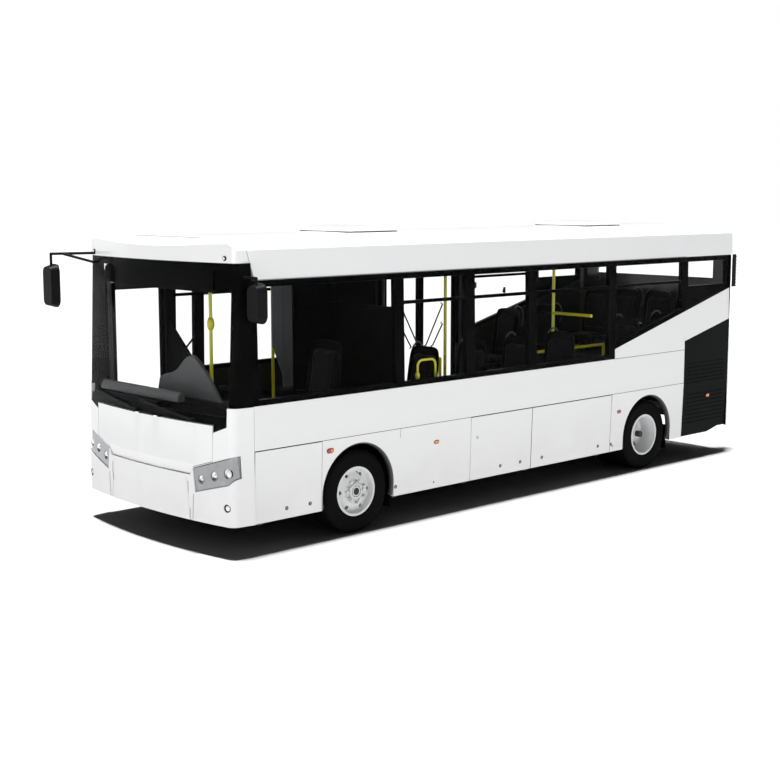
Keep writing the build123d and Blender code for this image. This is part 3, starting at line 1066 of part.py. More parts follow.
DRIVER_X = REAR_AXLE + 4500
DRIVER_SEAT_Z = 1180.0
with BuildPart() as driver_seat:
    extrude(polygon(across(STEER_Y + 320), seat_outline(DRIVER_X, DRIVER_SEAT_Z)), amount=480)
    slab(DRIVER_X + 60, DRIVER_X + 320, FRONT_HOUSING_Y + 20, STEER_Y + 260, HOUSING_TOP,
         DRIVER_SEAT_Z - 45)
save(driver_seat.part, "driver_seat")

PARTITION_X = FRONT_AXLE - HOUSING_HALF - 57
PARTITION_TOP = CANT_Z - 329
SCREEN_IN_Y = -680.0           # inner edge of the draught screens
# (station, height at the inner edge, height at the wall) of the draught screens
DOOR_SCREENS = ((DOOR_FRONT[0] - 42, 1500.0, 1900.0), (DOOR_MID[1] + 110, 1500.0, 1500.0))
with BuildPart() as driver_partition:
    edge = WALL_INNER - SEAT_GAP
    foot = PODIUM_Z + SEAT_GAP
    panel = [(200, FLOOR_Z), (PODIUM_Y - SEAT_GAP, FLOOR_Z), (PODIUM_Y - SEAT_GAP, foot), (edge, foot),
             (edge, SILL_Z), (edge - 14, PARTITION_TOP), (200, PARTITION_TOP)]
    extrude(polygon(Plane.YZ.offset(PARTITION_X), panel), amount=40)
    for x, low, high in DOOR_SCREENS:
        panel = [(SCREEN_IN_Y, FLOOR_Z), (-edge, FLOOR_Z), (-edge, SILL_Z), (15 - edge, high),
                 (SCREEN_IN_Y, low)]
        extrude(polygon(Plane.YZ.offset(x), panel), amount=25)
save(driver_partition.part, "driver_partition")

HANDRAIL_R = 17.0
SIDE_RAIL_Y = HALF_WIDTH - 625
# (station, y, floor height) of the upright rails
STANCHIONS = ((REAR_AXLE + 2700, 560, FLOOR_Z), (REAR_AXLE + 2700, -560, FLOOR_Z),
              (REAR_AXLE + 980, SIDE_RAIL_Y, FLOOR_Z), (REAR_AXLE + 4100, -560, FLOOR_Z),
              (REAR_AXLE + 5284, 0, FLOOR_Z))
SIDE_RAIL_END_X = REAR_AXLE + 60
SIDE_RAIL_Z = 1410.0
GRAB = (REAR_AXLE + 2880, REAR_AXLE + 3165, 665.0, 1480.0)      # rear end, front end, y, top
with BuildPart() as handrails:
    for x, y, z in STANCHIONS:
        bar_z(x, y, HANDRAIL_R, z, roof_under(abs(y) + HANDRAIL_R) - 0.3)
    rod((REAR_AXLE + 1230, SIDE_RAIL_Y, SIDE_RAIL_Z), (SIDE_RAIL_END_X, SIDE_RAIL_Y, SIDE_RAIL_Z), HANDRAIL_R)
    bar_z(SIDE_RAIL_END_X, SIDE_RAIL_Y, HANDRAIL_R, PLATFORM_Z, SIDE_RAIL_Z)
    bar_y(REAR_AXLE + 980, 1835, HANDRAIL_R, SIDE_RAIL_Y, WALL_INNER - GLASS_LEAN)
    rear, front, y, top = GRAB
    for x in (rear, front):
        bar_z(x, y, HANDRAIL_R, PODIUM_Z, top)
        with Locations((x, y, top)):
            Sphere(HANDRAIL_R)
    rod((rear, y, top), (front, y, top), HANDRAIL_R)
save(handrails.part, "handrails")

with BuildPart() as destination_sign:
    slab(CAB_X - 300, CAB_X - 170, -800, 800, DOOR_TOP + 8, CANT_Z + 111)   # clears the open leaf
    for y in (-400, 400):
        slab(CAB_X - 300, CAB_X - 280, y - 20, y + 20, CANT_Z + 100, roof_under(420) - SEAT_GAP)
save(destination_sign.part, "destination_sign")

# ================================================================ mirrors and wipers
MIRROR_REACH = 1450.0          # both mirrors reach equally far out
MIRROR_W = 200.0
MIRROR_T = 85.0
ARM_R = 13.0
HEAD_Y = MIRROR_REACH - MIRROR_W / 2
# (back, middle height, height, side) of the heads: the left one hangs beside the post
LEFT_HEAD = (CAB_X - 235, CANT_Z - 184, 350.0, 1)
RIGHT_HEAD = (CAB_X + 170, CANT_Z - 144, 420.0, -1)
LEFT_ARM_Z = CANT_Z + 31
ELBOW = (CAB_X + 205, -HEAD_Y, DOME_Z + 12)
arms = []
for back, middle, height, side in (LEFT_HEAD, RIGHT_HEAD):
    with BuildPart() as mirror_arm:
        with BuildSketch(Plane.YZ.offset(back)) as head:
            with Locations((side * HEAD_Y, middle)):
                RectangleRounded(MIRROR_W, height, 80)
        extrude(head.sketch, amount=MIRROR_T, taper=16)
        if side > 0:
            bar_y(CAB_X - 195, LEFT_ARM_Z, ARM_R, HALF_WIDTH - 70, HEAD_Y)
            rod((CAB_X - 195, HEAD_Y, middle), (CAB_X - 195, HEAD_Y, LEFT_ARM_Z), ARM_R)
            body = front_plan(CANT_Z - 200, front_lean(LEFT_ARM_Z), SEAT_GAP)
        else:
            rod((CAB_X - 190, 260 - HALF_WIDTH, DOME_Z + 25), ELBOW, ARM_R)
            rod((ELBOW[0], ELBOW[1], middle), ELBOW, ARM_R)
            rod((CAB_X - 190, 240 - HALF_WIDTH, DOME_Z - 105),
                (CAB_X + 130, 95 - HEAD_Y, DOME_Z + 14), ARM_R)
            body = front_plan(DOME_Z, front_lean(DOME_Z), -SEAT_GAP)
            loft([front_plan(CANT_Z, front_lean(CANT_Z), -SEAT_GAP), body], ruled=True, mode=Mode.SUBTRACT)
        extrude(body, amount=600, mode=Mode.SUBTRACT)
    arms.append(mirror_arm.part)
with BuildPart() as mirrors:
    add(arms)
save(mirrors.part, "mirrors")

WIPER_OFF = 14.0
WIPER_T = 12.0
# (pivot y, blade's near end, blade's far end) of each wiper, as (y, z)
WIPERS = ((-160, (-260, 1215), (-960, 1300)), (700, (600, 1210), (-60, 1290)))
with BuildPart() as wipers:
    front_shell(SCREEN_LOW_Z, 1500, -WIPER_OFF - WIPER_T, -WIPER_OFF)
    with BuildSketch(Plane.YZ) as arms:
        for pivot, near, far in WIPERS:
            with BuildLine():
                Polyline((near[0], near[1] - 10), (near[0], near[1] + 10), (far[0], far[1] + 10),
                         (far[0], far[1] - 10), close=True)
            make_face()
            mid = ((near[0] + far[0]) / 2, (near[1] + far[1]) / 2)
            with BuildLine():
                Polyline((pivot - 12, 1190), (pivot + 12, 1205), (mid[0] + 8, mid[1] + 8),
                         (mid[0] - 8, mid[1] - 8), close=True)
            make_face()
            with Locations((pivot, 1200)):
                Circle(22)
    extrude(arms.sketch, amount=8000, mode=Mode.INTERSECT)
    with BuildSketch(Plane.YZ.offset(NOSE_X - 150)) as pivots:
        with Locations([(pivot, 1200) for pivot, near, far in WIPERS]):
            Circle(14)
    extrude(pivots.sketch, amount=170)
    loft([front_plan(z, front_lean(z), SEAT_GAP) for z in (PANEL_TOP_Z, 1400)], ruled=True,
         mode=Mode.SUBTRACT)
    slab(NOSE_X + 12, NOSE_X + 100, -1200, 1200, 1000, 2000, mode=Mode.SUBTRACT)
save(wipers.part, "wipers")
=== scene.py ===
"""Low-entry midi bus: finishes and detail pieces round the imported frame."""

import json
from math import atan2, cos, hypot, pi, radians, sin, sqrt

import bmesh
import bpy
from mathutils import Matrix, Vector
from mathutils.bvhtree import BVHTree

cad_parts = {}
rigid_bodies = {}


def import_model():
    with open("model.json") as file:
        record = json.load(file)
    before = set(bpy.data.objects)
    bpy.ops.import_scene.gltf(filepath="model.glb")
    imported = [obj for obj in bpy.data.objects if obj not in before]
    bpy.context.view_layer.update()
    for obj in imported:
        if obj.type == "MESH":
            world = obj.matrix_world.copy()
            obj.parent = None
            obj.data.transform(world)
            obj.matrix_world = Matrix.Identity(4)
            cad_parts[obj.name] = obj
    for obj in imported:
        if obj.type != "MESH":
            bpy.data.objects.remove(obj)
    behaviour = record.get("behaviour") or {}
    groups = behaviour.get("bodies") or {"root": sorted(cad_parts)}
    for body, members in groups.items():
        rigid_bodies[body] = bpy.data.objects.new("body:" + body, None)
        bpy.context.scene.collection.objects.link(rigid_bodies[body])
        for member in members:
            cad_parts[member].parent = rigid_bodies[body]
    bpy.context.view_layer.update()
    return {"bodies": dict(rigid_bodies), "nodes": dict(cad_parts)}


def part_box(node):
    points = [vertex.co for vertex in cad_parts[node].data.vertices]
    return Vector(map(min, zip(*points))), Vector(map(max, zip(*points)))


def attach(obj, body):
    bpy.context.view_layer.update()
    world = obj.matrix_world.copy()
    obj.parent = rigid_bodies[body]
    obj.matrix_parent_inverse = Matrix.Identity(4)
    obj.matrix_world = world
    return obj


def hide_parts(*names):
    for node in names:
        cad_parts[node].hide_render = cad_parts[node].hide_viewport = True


bl_info = {
    "name": "Midi bus finishing",
    "version": (1, 0, 0),
    "blender": (4, 5, 0),
    "location": "View3D > Sidebar > Midi bus",
    "description": "Finishes and detail pieces for a low-entry midi bus",
    "category": "Object",
}

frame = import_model()
NODES = frame["nodes"]


# ---------------------------------------------------------------- places
def low(node):
    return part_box(node)[0]


def high(node):
    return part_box(node)[1]


def middle(node):
    return (low(node) + high(node)) / 2


REAR_AXLE = middle("wheel_rear_left_tyre")
FRONT_AXLE = middle("wheel_front_left_tyre")
TYRE_R = (high("wheel_front_left_tyre").z - low("wheel_front_left_tyre").z) / 2
SIDE_Y = high("flap_middle_left").y
TAIL_X = low("rear_wall").x
NOSE_X = high("front_bumper").x
ORIGIN, AHEAD, LEFT, UP = (0, 0, 0), (1, 0, 0), (0, 1, 0), (0, 0, 1)


def station(metres):
    """Place along the bus, measured forward from the rear axle."""
    return REAR_AXLE.x + metres


_skins = {}


def hit(node, start, direction):
    """Point and outward normal where a line first meets a node of the frame."""
    if node not in _skins:
        mesh = NODES[node].data
        _skins[node] = BVHTree.FromPolygons([v.co for v in mesh.vertices],
                                            [p.vertices for p in mesh.polygons])
    way = Vector(direction).normalized()
    point, normal, _, _ = _skins[node].ray_cast(Vector(start), way)
    if point is None:
        raise RuntimeError(f"no surface of {node} beyond {tuple(start)}")
    return point, (normal if normal.dot(way) < 0 else -normal)


def on_front(node, y, z):
    """Point and outward normal on a panel of the front."""
    return hit(node, (NOSE_X + 0.5, y, z), (-1, 0, 0))


def on_back(node, y, z):
    """Point and outward normal on a panel of the back."""
    return hit(node, (TAIL_X - 1.0, y, z), AHEAD)


# ---------------------------------------------------------------- shader groups
FILM_FALL, FILM_FOOT = -1.4, 1.5        # road film: change per metre of height, amount at the road
FILM_LEAST, FILM_ROUGHNESS = 0.15, 0.35
FLECK_SCALE, CROSS_SHADE = 260.0, 0.2
RELIEF_DEPTH = 0.001
COAT_ROUGHNESS = 0.06


def new_group(name, inputs, outputs):
    tree = bpy.data.node_groups.new(name, "ShaderNodeTree")
    for label, kind, value in inputs:
        item = tree.interface.new_socket(label, in_out="INPUT", socket_type=kind)
        item.default_value = value
    for label, kind in outputs:
        tree.interface.new_socket(label, in_out="OUTPUT", socket_type=kind)
    return tree, tree.nodes.new("NodeGroupInput"), tree.nodes.new("NodeGroupOutput")


def maths(tree, operation, a, b=None, c=None):
    """Math node with sockets or numbers as its inputs."""
    node = tree.nodes.new("ShaderNodeMath")
    node.operation = operation
    for socket, value in zip(node.inputs, (a, b, c)):
        if value is None:
            continue
        if isinstance(value, (int, float)):
            socket.default_value = value
        else:
            tree.links.new(value, socket)
    return node.outputs[0]


def noise(tree, vector, scale, detail=3.0, roughness=0.55):
    node = tree.nodes.new("ShaderNodeTexNoise")
    tree.links.new(vector, node.inputs["Vector"])
    node.inputs["Detail"].default_value = detail
    node.inputs["Roughness"].default_value = roughness
    if isinstance(scale, (int, float)):
        node.inputs["Scale"].default_value = scale
    else:
        tree.links.new(scale, node.inputs["Scale"])
    return node.outputs["Fac"]


def make_grain():
    """Moulded or sprayed surface: fine grain, slow patches and road film near the ground."""
    tree, given, out = new_group(
        "surface_grain",
        [("Grain Scale", "NodeSocketFloat", 400.0), ("Patch Scale", "NodeSocketFloat", 3.0),
         ("Roughness", "NodeSocketFloat", 0.4), ("Variation", "NodeSocketFloat", 0.1),
         ("Film", "NodeSocketFloat", 0.0)],
        [("Height", "NodeSocketFloat"), ("Roughness", "NodeSocketFloat"),
         ("Patches", "NodeSocketFloat"), ("Film", "NodeSocketFloat")])
    place = tree.nodes.new("ShaderNodeTexCoord").outputs["Object"]
    grain = noise(tree, place, given.outputs["Grain Scale"], 4.0)
    patches = noise(tree, place, given.outputs["Patch Scale"], 4.0, 0.6)
    split = tree.nodes.new("ShaderNodeSeparateXYZ")
    tree.links.new(place, split.inputs[0])
    height = maths(tree, "MULTIPLY_ADD", split.outputs["Z"], FILM_FALL, FILM_FOOT)
    height = maths(tree, "MINIMUM", maths(tree, "MAXIMUM", height, 0.0), 1.0)
    film = maths(tree, "MULTIPLY", height, maths(tree, "ADD", patches, FILM_LEAST))
    film = maths(tree, "MULTIPLY", film, given.outputs["Film"])
    swing = maths(tree, "MULTIPLY", maths(tree, "SUBTRACT", patches, 0.5),
                  given.outputs["Variation"])
    rough = maths(tree, "ADD", given.outputs["Roughness"], swing)
    rough = maths(tree, "ADD", rough, maths(tree, "MULTIPLY", film, FILM_ROUGHNESS))
    tree.links.new(grain, out.inputs["Height"])
    tree.links.new(rough, out.inputs["Roughness"])
    tree.links.new(patches, out.inputs["Patches"])
    tree.links.new(film, out.inputs["Film"])
    return tree


def make_inside():
    """Mask of the faces that look towards the cabin, where the painted cabin shade goes."""
    tree, given, out = new_group("cabin_side", [("Middle", "NodeSocketVector", (0.0, 0.0, 1.4))],
                                 [("Mask", "NodeSocketFloat")])
    coord = tree.nodes.new("ShaderNodeTexCoord")
    away = tree.nodes.new("ShaderNodeVectorMath")
    away.operation = "SUBTRACT"
    tree.links.new(coord.outputs["Object"], away.inputs[0])
    tree.links.new(given.outputs["Middle"], away.inputs[1])
    facing = tree.nodes.new("ShaderNodeVectorMath")
    facing.operation = "DOT_PRODUCT"
    tree.links.new(away.outputs[0], facing.inputs[0])
    tree.links.new(coord.outputs["Normal"], facing.inputs[1])
    mask = maths(tree, "LESS_THAN", facing.outputs["Value"], 0.0)
    tree.links.new(mask, out.inputs["Mask"])
    return tree


def make_weave():
    """Plain weave over the object's own length and height."""
    tree, given, out = new_group("plain_weave", [("Pitch", "NodeSocketFloat", 900.0)],
                                 [("Height", "NodeSocketFloat"), ("Shade", "NodeSocketFloat")])
    split = tree.nodes.new("ShaderNodeSeparateXYZ")
    place = tree.nodes.new("ShaderNodeTexCoord").outputs["Object"]
    tree.links.new(place, split.inputs[0])
    along = maths(tree, "ADD", split.outputs["X"], split.outputs["Z"])
    warp = maths(tree, "SINE", maths(tree, "MULTIPLY", along, given.outputs["Pitch"]))
    weft = maths(tree, "SINE", maths(tree, "MULTIPLY", split.outputs["Y"], given.outputs["Pitch"]))
    cross = maths(tree, "MULTIPLY", warp, weft)
    fleck = noise(tree, place, FLECK_SCALE, 2.0)
    tree.links.new(maths(tree, "ADD", cross, fleck), out.inputs["Height"])
    tree.links.new(maths(tree, "MULTIPLY_ADD", cross, CROSS_SHADE, fleck), out.inputs["Shade"])
    return tree


GROUPS = {}
FINISHES = {}


def group_node(tree, name, **values):
    node = tree.nodes.new("ShaderNodeGroup")
    node.node_tree = GROUPS[name]
    for label, value in values.items():
        node.inputs[label.replace("_", " ")].default_value = value
    return node


def blend_colour(tree, share, a, b):
    """Mix node between two colours, each a tuple or a socket."""
    node = tree.nodes.new("ShaderNodeMix")
    node.data_type = "RGBA"
    tree.links.new(share, node.inputs["Factor"])
    for socket, value in ((node.inputs["A"], a), (node.inputs["B"], b)):
        if isinstance(value, (tuple, list)):
            socket.default_value = (*value[:3], 1.0)
        else:
            tree.links.new(value, socket)
    return node.outputs["Result"]


def finish(name, colour, rough=0.4, metal=0.0, coat=0.0, grain=400.0, bump=0.05, patch=3.0,
           variation=0.1, spread=0.06, film=0.0, film_colour=(0.32, 0.3, 0.27), inside=None,
           centre=(0.0, 0.0, 1.4), glass=False, ior=1.45, weave=0.0, sheen=0.0, specular=0.5):
    """Principled material whose colour, roughness and bump vary over the surface."""
    material = bpy.data.materials.new(name)
    material.use_nodes = True
    tree = material.node_tree
    surface = tree.nodes["Principled BSDF"]
    texture = group_node(tree, "surface_grain", Grain_Scale=grain, Patch_Scale=patch,
                         Roughness=rough, Variation=variation, Film=film)
    dark = tuple(c * (1 - spread) for c in colour[:3])
    light = tuple(min(1.0, c * (1 + spread)) for c in colour[:3])
    shade = blend_colour(tree, texture.outputs["Patches"], dark, light)
    height = texture.outputs["Height"]
    if weave:
        cloth = group_node(tree, "plain_weave", Pitch=weave)
        height = cloth.outputs["Height"]
        shade = blend_colour(tree, cloth.outputs["Shade"], dark, light)
    if film:
        shade = blend_colour(tree, texture.outputs["Film"], shade, film_colour)
    # Faces towards the cabin take the inside colour, a painted shade standing in for the dark
    # cabin.
    if inside:
        mask = group_node(tree, "cabin_side", Middle=centre)
        shade = blend_colour(tree, mask.outputs["Mask"], shade, inside)
    tree.links.new(shade, surface.inputs["Base Color"])
    tree.links.new(texture.outputs["Roughness"], surface.inputs["Roughness"])
    relief = tree.nodes.new("ShaderNodeBump")
    relief.inputs["Strength"].default_value = bump
    relief.inputs["Distance"].default_value = RELIEF_DEPTH
    tree.links.new(height, relief.inputs["Height"])
    tree.links.new(relief.outputs[0], surface.inputs["Normal"])
    surface.inputs["Metallic"].default_value = metal
    surface.inputs["IOR"].default_value = ior
    surface.inputs["Specular IOR Level"].default_value = specular
    surface.inputs["Coat Weight"].default_value = coat
    surface.inputs["Coat Roughness"].default_value = COAT_ROUGHNESS
    surface.inputs["Sheen Weight"].default_value = sheen
    if glass:
        surface.inputs["Transmission Weight"].default_value = 1.0
    FINISHES[name] = material
    return material


# ---------------------------------------------------------------- mesh forms
BEVEL_ANGLE = radians(35)       # sharper edges than this are rounded


def prism_loops(n):
    """Faces of a prism whose points are one n-sided end and then the other."""
    return [tuple(range(n)), tuple(range(2 * n - 1, n - 1, -1)),
            *((i, i + n, (i + 1) % n + n, (i + 1) % n) for i in range(n))]


class Form:
    """Closed shapes gathered into one mesh piece."""

    def __init__(self):
        self.mesh = bmesh.new()

    def faces(self, points, loops, shade=0, smooth=True):
        verts = [self.mesh.verts.new(p) for p in points]
        made = []
        for loop in loops:
            face = self.mesh.faces.new([verts[i] for i in loop])
            face.material_index = shade
            face.smooth = smooth
            made.append(face)
        bmesh.ops.recalc_face_normals(self.mesh, faces=made)
        return self

    def block(self, a, b, shade=0):
        """Box between two corners."""
        a, b = [min(p, q) for p, q in zip(a, b)], [max(p, q) for p, q in zip(a, b)]
        points = [(x, y, z) for x in (a[0], b[0]) for y in (a[1], b[1]) for z in (a[2], b[2])]
        loops = [(0, 1, 3, 2), (4, 6, 7, 5), (0, 4, 5, 1), (2, 3, 7, 6), (0, 2, 6, 4), (1, 5, 7, 3)]
        return self.faces(points, loops, shade, False)

    def bar(self, start, end, width, depth, up=(0, 0, 1), shade=0):
        """Rectangular bar between two points."""
        start, end = Vector(start), Vector(end)
        side = (end - start).cross(Vector(up)).normalized() * width / 2
        top = side.cross(end - start).normalized() * depth / 2
        points = [p + s * side + t * top for p in (start, end) for s, t in
                  ((-1, -1), (1, -1), (1, 1), (-1, 1))]
        loops = [(0, 1, 2, 3), (4, 7, 6, 5), (0, 4, 5, 1), (1, 5, 6, 2), (2, 6, 7, 3), (3, 7, 4, 0)]
        return self.faces(points, loops, shade, False)

    def plate(self, outline, origin, right, up, thick, shade=0, offset=0.0):
        """Flat outline, given in (right, up), thickened along their normal."""
        origin, right, up = Vector(origin), Vector(right).normalized(), Vector(up).normalized()
        out = right.cross(up)
        points = [origin + u * right + v * up + out * d for d in (offset, offset + thick)
                  for u, v in outline]
        return self.faces(points, prism_loops(len(outline)), shade, False)

    def turned(self, profile, centre, axis, count=32, shade=0, closed=False, smooth=True):
        """Body turned about an axis from (radius, distance along the axis) points."""
        axis = Vector(axis).normalized()
        aside = axis.orthogonal().normalized()
        ahead = axis.cross(aside)
        points, rings = [], []
        for r, d in profile:
            if r < 1e-6:
                rings.append([len(points)])
                points.append(Vector(centre) + axis * d)
                continue
            rings.append(list(range(len(points), len(points) + count)))
            for i in range(count):
                turn = 2 * pi * i / count
                out = aside * cos(turn) + ahead * sin(turn)
                points.append(Vector(centre) + axis * d + out * r)
        loops = []
        pairs = list(zip(rings, rings[1:])) + ([(rings[-1], rings[0])] if closed else [])
        for a, b in pairs:
            for i in range(count):
                j = (i + 1) % count
                if len(a) == 1 and len(b) == 1:
                    continue
                if len(a) == 1:
                    loops.append((a[0], b[j], b[i]))
                elif len(b) == 1:
                    loops.append((a[i], a[j], b[0]))
                else:
                    loops.append((a[i], a[j], b[j], b[i]))
        if not closed:
            for ring, last in ((rings[0], False), (rings[-1], True)):
                if len(ring) > 1:
                    loops.append(tuple(ring) if last else tuple(reversed(ring)))
        return self.faces(points, loops, shade, smooth)

    def tube(self, path, radius, count=12, shade=0, loop=False, flat=1.0, up=(0, 0, 1)):
        """Round rod along a path, with closed ends; flat squeezes it across the path."""
        path = [Vector(p) for p in path]
        points, n = [], len(path)
        previous = None
        for i, p in enumerate(path):
            back = path[i - 1] if (i or loop) else p
            ahead = path[(i + 1) % n] if (i < n - 1 or loop) else p
            way = (ahead - back).normalized()
            side = way.cross(Vector(up)) if previous is None else previous - way * previous.dot(way)
            if side.length < 1e-6:
                side = way.orthogonal()
            side.normalize()
            previous = side
            over = way.cross(side)
            r = radius[i] if isinstance(radius, (list, tuple)) else radius
            for k in range(count):
                turn = 2 * pi * k / count
                points.append(p + (side * cos(turn) + over * sin(turn) * flat) * r)
        loops = []
        for i in range(n if loop else n - 1):
            a, b = i * count, ((i + 1) % n) * count
            for k in range(count):
                m = (k + 1) % count
                loops.append((a + k, a + m, b + m, b + k))
        if not loop:
            loops.append(tuple(reversed(range(count))))
            loops.append(tuple(range((n - 1) * count, n * count)))
        return self.faces(points, loops, shade)

    def plain(self, name, finish_name=None, place=None):
        """Plain mesh of the form, with its finish and moved to its place."""
        mesh = bpy.data.meshes.new(name)
        self.mesh.to_mesh(mesh)
        self.mesh.free()
        if finish_name:
            mesh.materials.append(FINISHES[finish_name])
        if place is not None:
            mesh.transform(place)
        return mesh

    def piece(self, name, body, finishes, slot, bevel=0.0, segments=2):
        """The finished object, riding on its body."""
        for face in self.mesh.faces:
            face.normal_update()
        mesh = self.plain(name)
        made = bpy.data.objects.new(name, mesh)
        bpy.context.scene.collection.objects.link(made)
        for key in (finishes if isinstance(finishes, (list, tuple)) else [finishes]):
            mesh.materials.append(FINISHES[key])
        if bevel:
            edge = made.modifiers.new("edges", "BEVEL")
            edge.width, edge.segments, edge.limit_method = bevel, segments, "ANGLE"
            edge.angle_limit = BEVEL_ANGLE
            edge.harden_normals = False
        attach(made, body)
        return made


def baked(made):
    """Applies an object's modifiers to its mesh."""
    graph = bpy.context.evaluated_depsgraph_get()
    mesh = bpy.data.meshes.new_from_object(made.evaluated_get(graph))
    made.modifiers.clear()
    made.data = mesh
    return made


def rounded(width, height, radius, steps=5):
    """Outline of a rectangle with round corners, about its middle."""
    points = []
    for cx, cy, start in ((1, 1, 0), (-1, 1, 90), (-1, -1, 180), (1, -1, 270)):
        for i in range(steps + 1):
            turn = radians(start + 90 * i / steps)
            points.append((cx * (width / 2 - radius) + radius * cos(turn),
                           cy * (height / 2 - radius) + radius * sin(turn)))
    return points


# ---------------------------------------------------------------- repeats
def new_tree(name, inputs):
    tree = bpy.data.node_groups.new(name, "GeometryNodeTree")
    for label, kind, value in inputs:
        item = tree.interface.new_socket(label, in_out="INPUT", socket_type=kind)
        if value is not None:
            item.default_value = value
    tree.interface.new_socket("Geometry", in_out="OUTPUT", socket_type="NodeSocketGeometry")
    return tree, tree.nodes.new("NodeGroupInput"), tree.nodes.new("NodeGroupOutput")


def element_on(tree, given, points, out, rotation=None):
    """Instances of the Element input on points, realised and given their finish."""
    link = tree.links.new
    info = tree.nodes.new("GeometryNodeObjectInfo")
    link(given.outputs["Element"], info.inputs["Object"])
    spread = tree.nodes.new("GeometryNodeInstanceOnPoints")
    link(points, spread.inputs["Points"])
    link(info.outputs["Geometry"], spread.inputs["Instance"])
    if rotation is not None:
        link(rotation, spread.inputs["Rotation"])
    real = tree.nodes.new("GeometryNodeRealizeInstances")
    link(spread.outputs["Instances"], real.inputs["Geometry"])
    coat = tree.nodes.new("GeometryNodeSetMaterial")
    link(real.outputs["Geometry"], coat.inputs["Geometry"])
    link(given.outputs["Finish"], coat.inputs["Material"])
    link(coat.outputs["Geometry"], out.inputs["Geometry"])


def make_row_tree():
    """Elements in one straight row, a step apart."""
    tree, given, out = new_tree("row_of_elements", [
        ("Element", "NodeSocketObject", None), ("Count", "NodeSocketInt", 4),
        ("Step", "NodeSocketVector", (0.1, 0.0, 0.0)), ("Finish", "NodeSocketMaterial", None)])
    line = tree.nodes.new("GeometryNodeMeshLine")
    tree.links.new(given.outputs["Count"], line.inputs["Count"])
    tree.links.new(given.outputs["Step"], line.inputs["Offset"])
    element_on(tree, given, line.outputs["Mesh"], out)
    return tree


def make_ring_tree():
    """Elements round the X axis, their own Z pointing outwards."""
    tree, given, out = new_tree("ring_of_elements", [
        ("Element", "NodeSocketObject", None), ("Count", "NodeSocketInt", 6),
        ("Radius", "NodeSocketFloat", 0.1), ("Phase", "NodeSocketFloat", 0.0),
        ("Finish", "NodeSocketMaterial", None)])
    link = tree.links.new
    line = tree.nodes.new("GeometryNodeMeshLine")
    line.inputs["Offset"].default_value = (0.0, 0.0, 0.0)
    link(given.outputs["Count"], line.inputs["Count"])
    index = tree.nodes.new("GeometryNodeInputIndex").outputs[0]
    turn = maths(tree, "DIVIDE", maths(tree, "MULTIPLY", index, 2 * pi), given.outputs["Count"])
    turn = maths(tree, "ADD", turn, given.outputs["Phase"])
    place = tree.nodes.new("ShaderNodeCombineXYZ")
    link(maths(tree, "MULTIPLY", maths(tree, "SINE", turn), given.outputs["Radius"]),
         place.inputs["Y"])
    link(maths(tree, "MULTIPLY", maths(tree, "COSINE", turn), given.outputs["Radius"]),
         place.inputs["Z"])
    move = tree.nodes.new("GeometryNodeSetPosition")
    link(line.outputs["Mesh"], move.inputs["Geometry"])
    link(place.outputs[0], move.inputs["Position"])
    spin = tree.nodes.new("ShaderNodeCombineXYZ")
    link(maths(tree, "MULTIPLY", turn, -1.0), spin.inputs["X"])
    element_on(tree, given, move.outputs["Geometry"], out, spin.outputs[0])
    return tree


TREES = {}


def repeated(tree_name, form, finish_name, place, **values):
    """Mesh of a form repeated by a tree and moved to its place."""
    element = bpy.data.objects.new("element", form.plain("element"))
    host = bpy.data.objects.new("host", bpy.data.meshes.new("host"))
    for made in (element, host):
        bpy.context.scene.collection.objects.link(made)
    values.update(Element=element, Finish=FINISHES[finish_name])
    tree = TREES[tree_name]
    repeat = host.modifiers.new("repeat", "NODES")
    repeat.node_group = tree
    for item in tree.interface.items_tree:
        if item.in_out == "INPUT" and item.name in values:
            repeat[item.identifier] = values[item.name]
    bpy.context.view_layer.update()
    graph = bpy.context.evaluated_depsgraph_get()
    result = bpy.data.meshes.new_from_object(host.evaluated_get(graph))
    result.transform(place)
    bpy.data.objects.remove(host)
    bpy.data.objects.remove(element)
    return result


def put(name, meshes, body):
    """One piece joined from plain meshes that share their finishes."""
    joined = bmesh.new()
    finishes = []
    for mesh in meshes:
        shift = {}
        for i, material in enumerate(mesh.materials):
            if material is None:
                continue
            key = material.name
            if key not in finishes:
                finishes.append(key)
            shift[i] = finishes.index(key)
        first = len(joined.faces)
        joined.from_mesh(mesh)
        joined.faces.ensure_lookup_table()
        for face in joined.faces[first:]:
            face.material_index = shift.get(face.material_index, 0)
    mesh = bpy.data.meshes.new(name)
    joined.to_mesh(mesh)
    joined.free()
    made = bpy.data.objects.new(name, mesh)
    bpy.context.scene.collection.objects.link(made)
    for key in finishes:
        mesh.materials.append(bpy.data.materials[key])
    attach(made, body)
    return made


# ---------------------------------------------------------------- values
def colour_value(label, text, default):
    return bpy.props.FloatVectorProperty(name=label, description=text, default=default, size=3,
                                         subtype="COLOR", min=0.0, max=1.0)


def length_value(label, text, default):
    return bpy.props.FloatProperty(name=label, description=text, default=default, unit="LENGTH")


class BusColours(bpy.types.PropertyGroup):
    body: colour_value("Body", "Main colour of the bodywork", (0.86, 0.865, 0.87))
    trim: colour_value("Trim", "Black bodywork and window frames", (0.0015, 0.0016, 0.0017))
    corner: colour_value("Corner", "Louvred rear corner panels", (0.005, 0.007, 0.0067))
    # Near-black painted shade for the cabin-facing faces of the walls, roof and dome, in place of
    # the cabin's darkness.
    cabin: colour_value("Cabin", "Linings and ceiling", (0.003, 0.003, 0.0032))
    rail: colour_value("Rails", "Handrails and stanchions", (0.62, 0.58, 0.01))
    rim: colour_value("Wheels", "Painted steel wheels", (0.80, 0.81, 0.82))
    # Seat cloth: its dark tone is darkened further as painted shade of the cabin.
    seat: colour_value("Seats", "Seat cloth", (0.006, 0.006, 0.007))


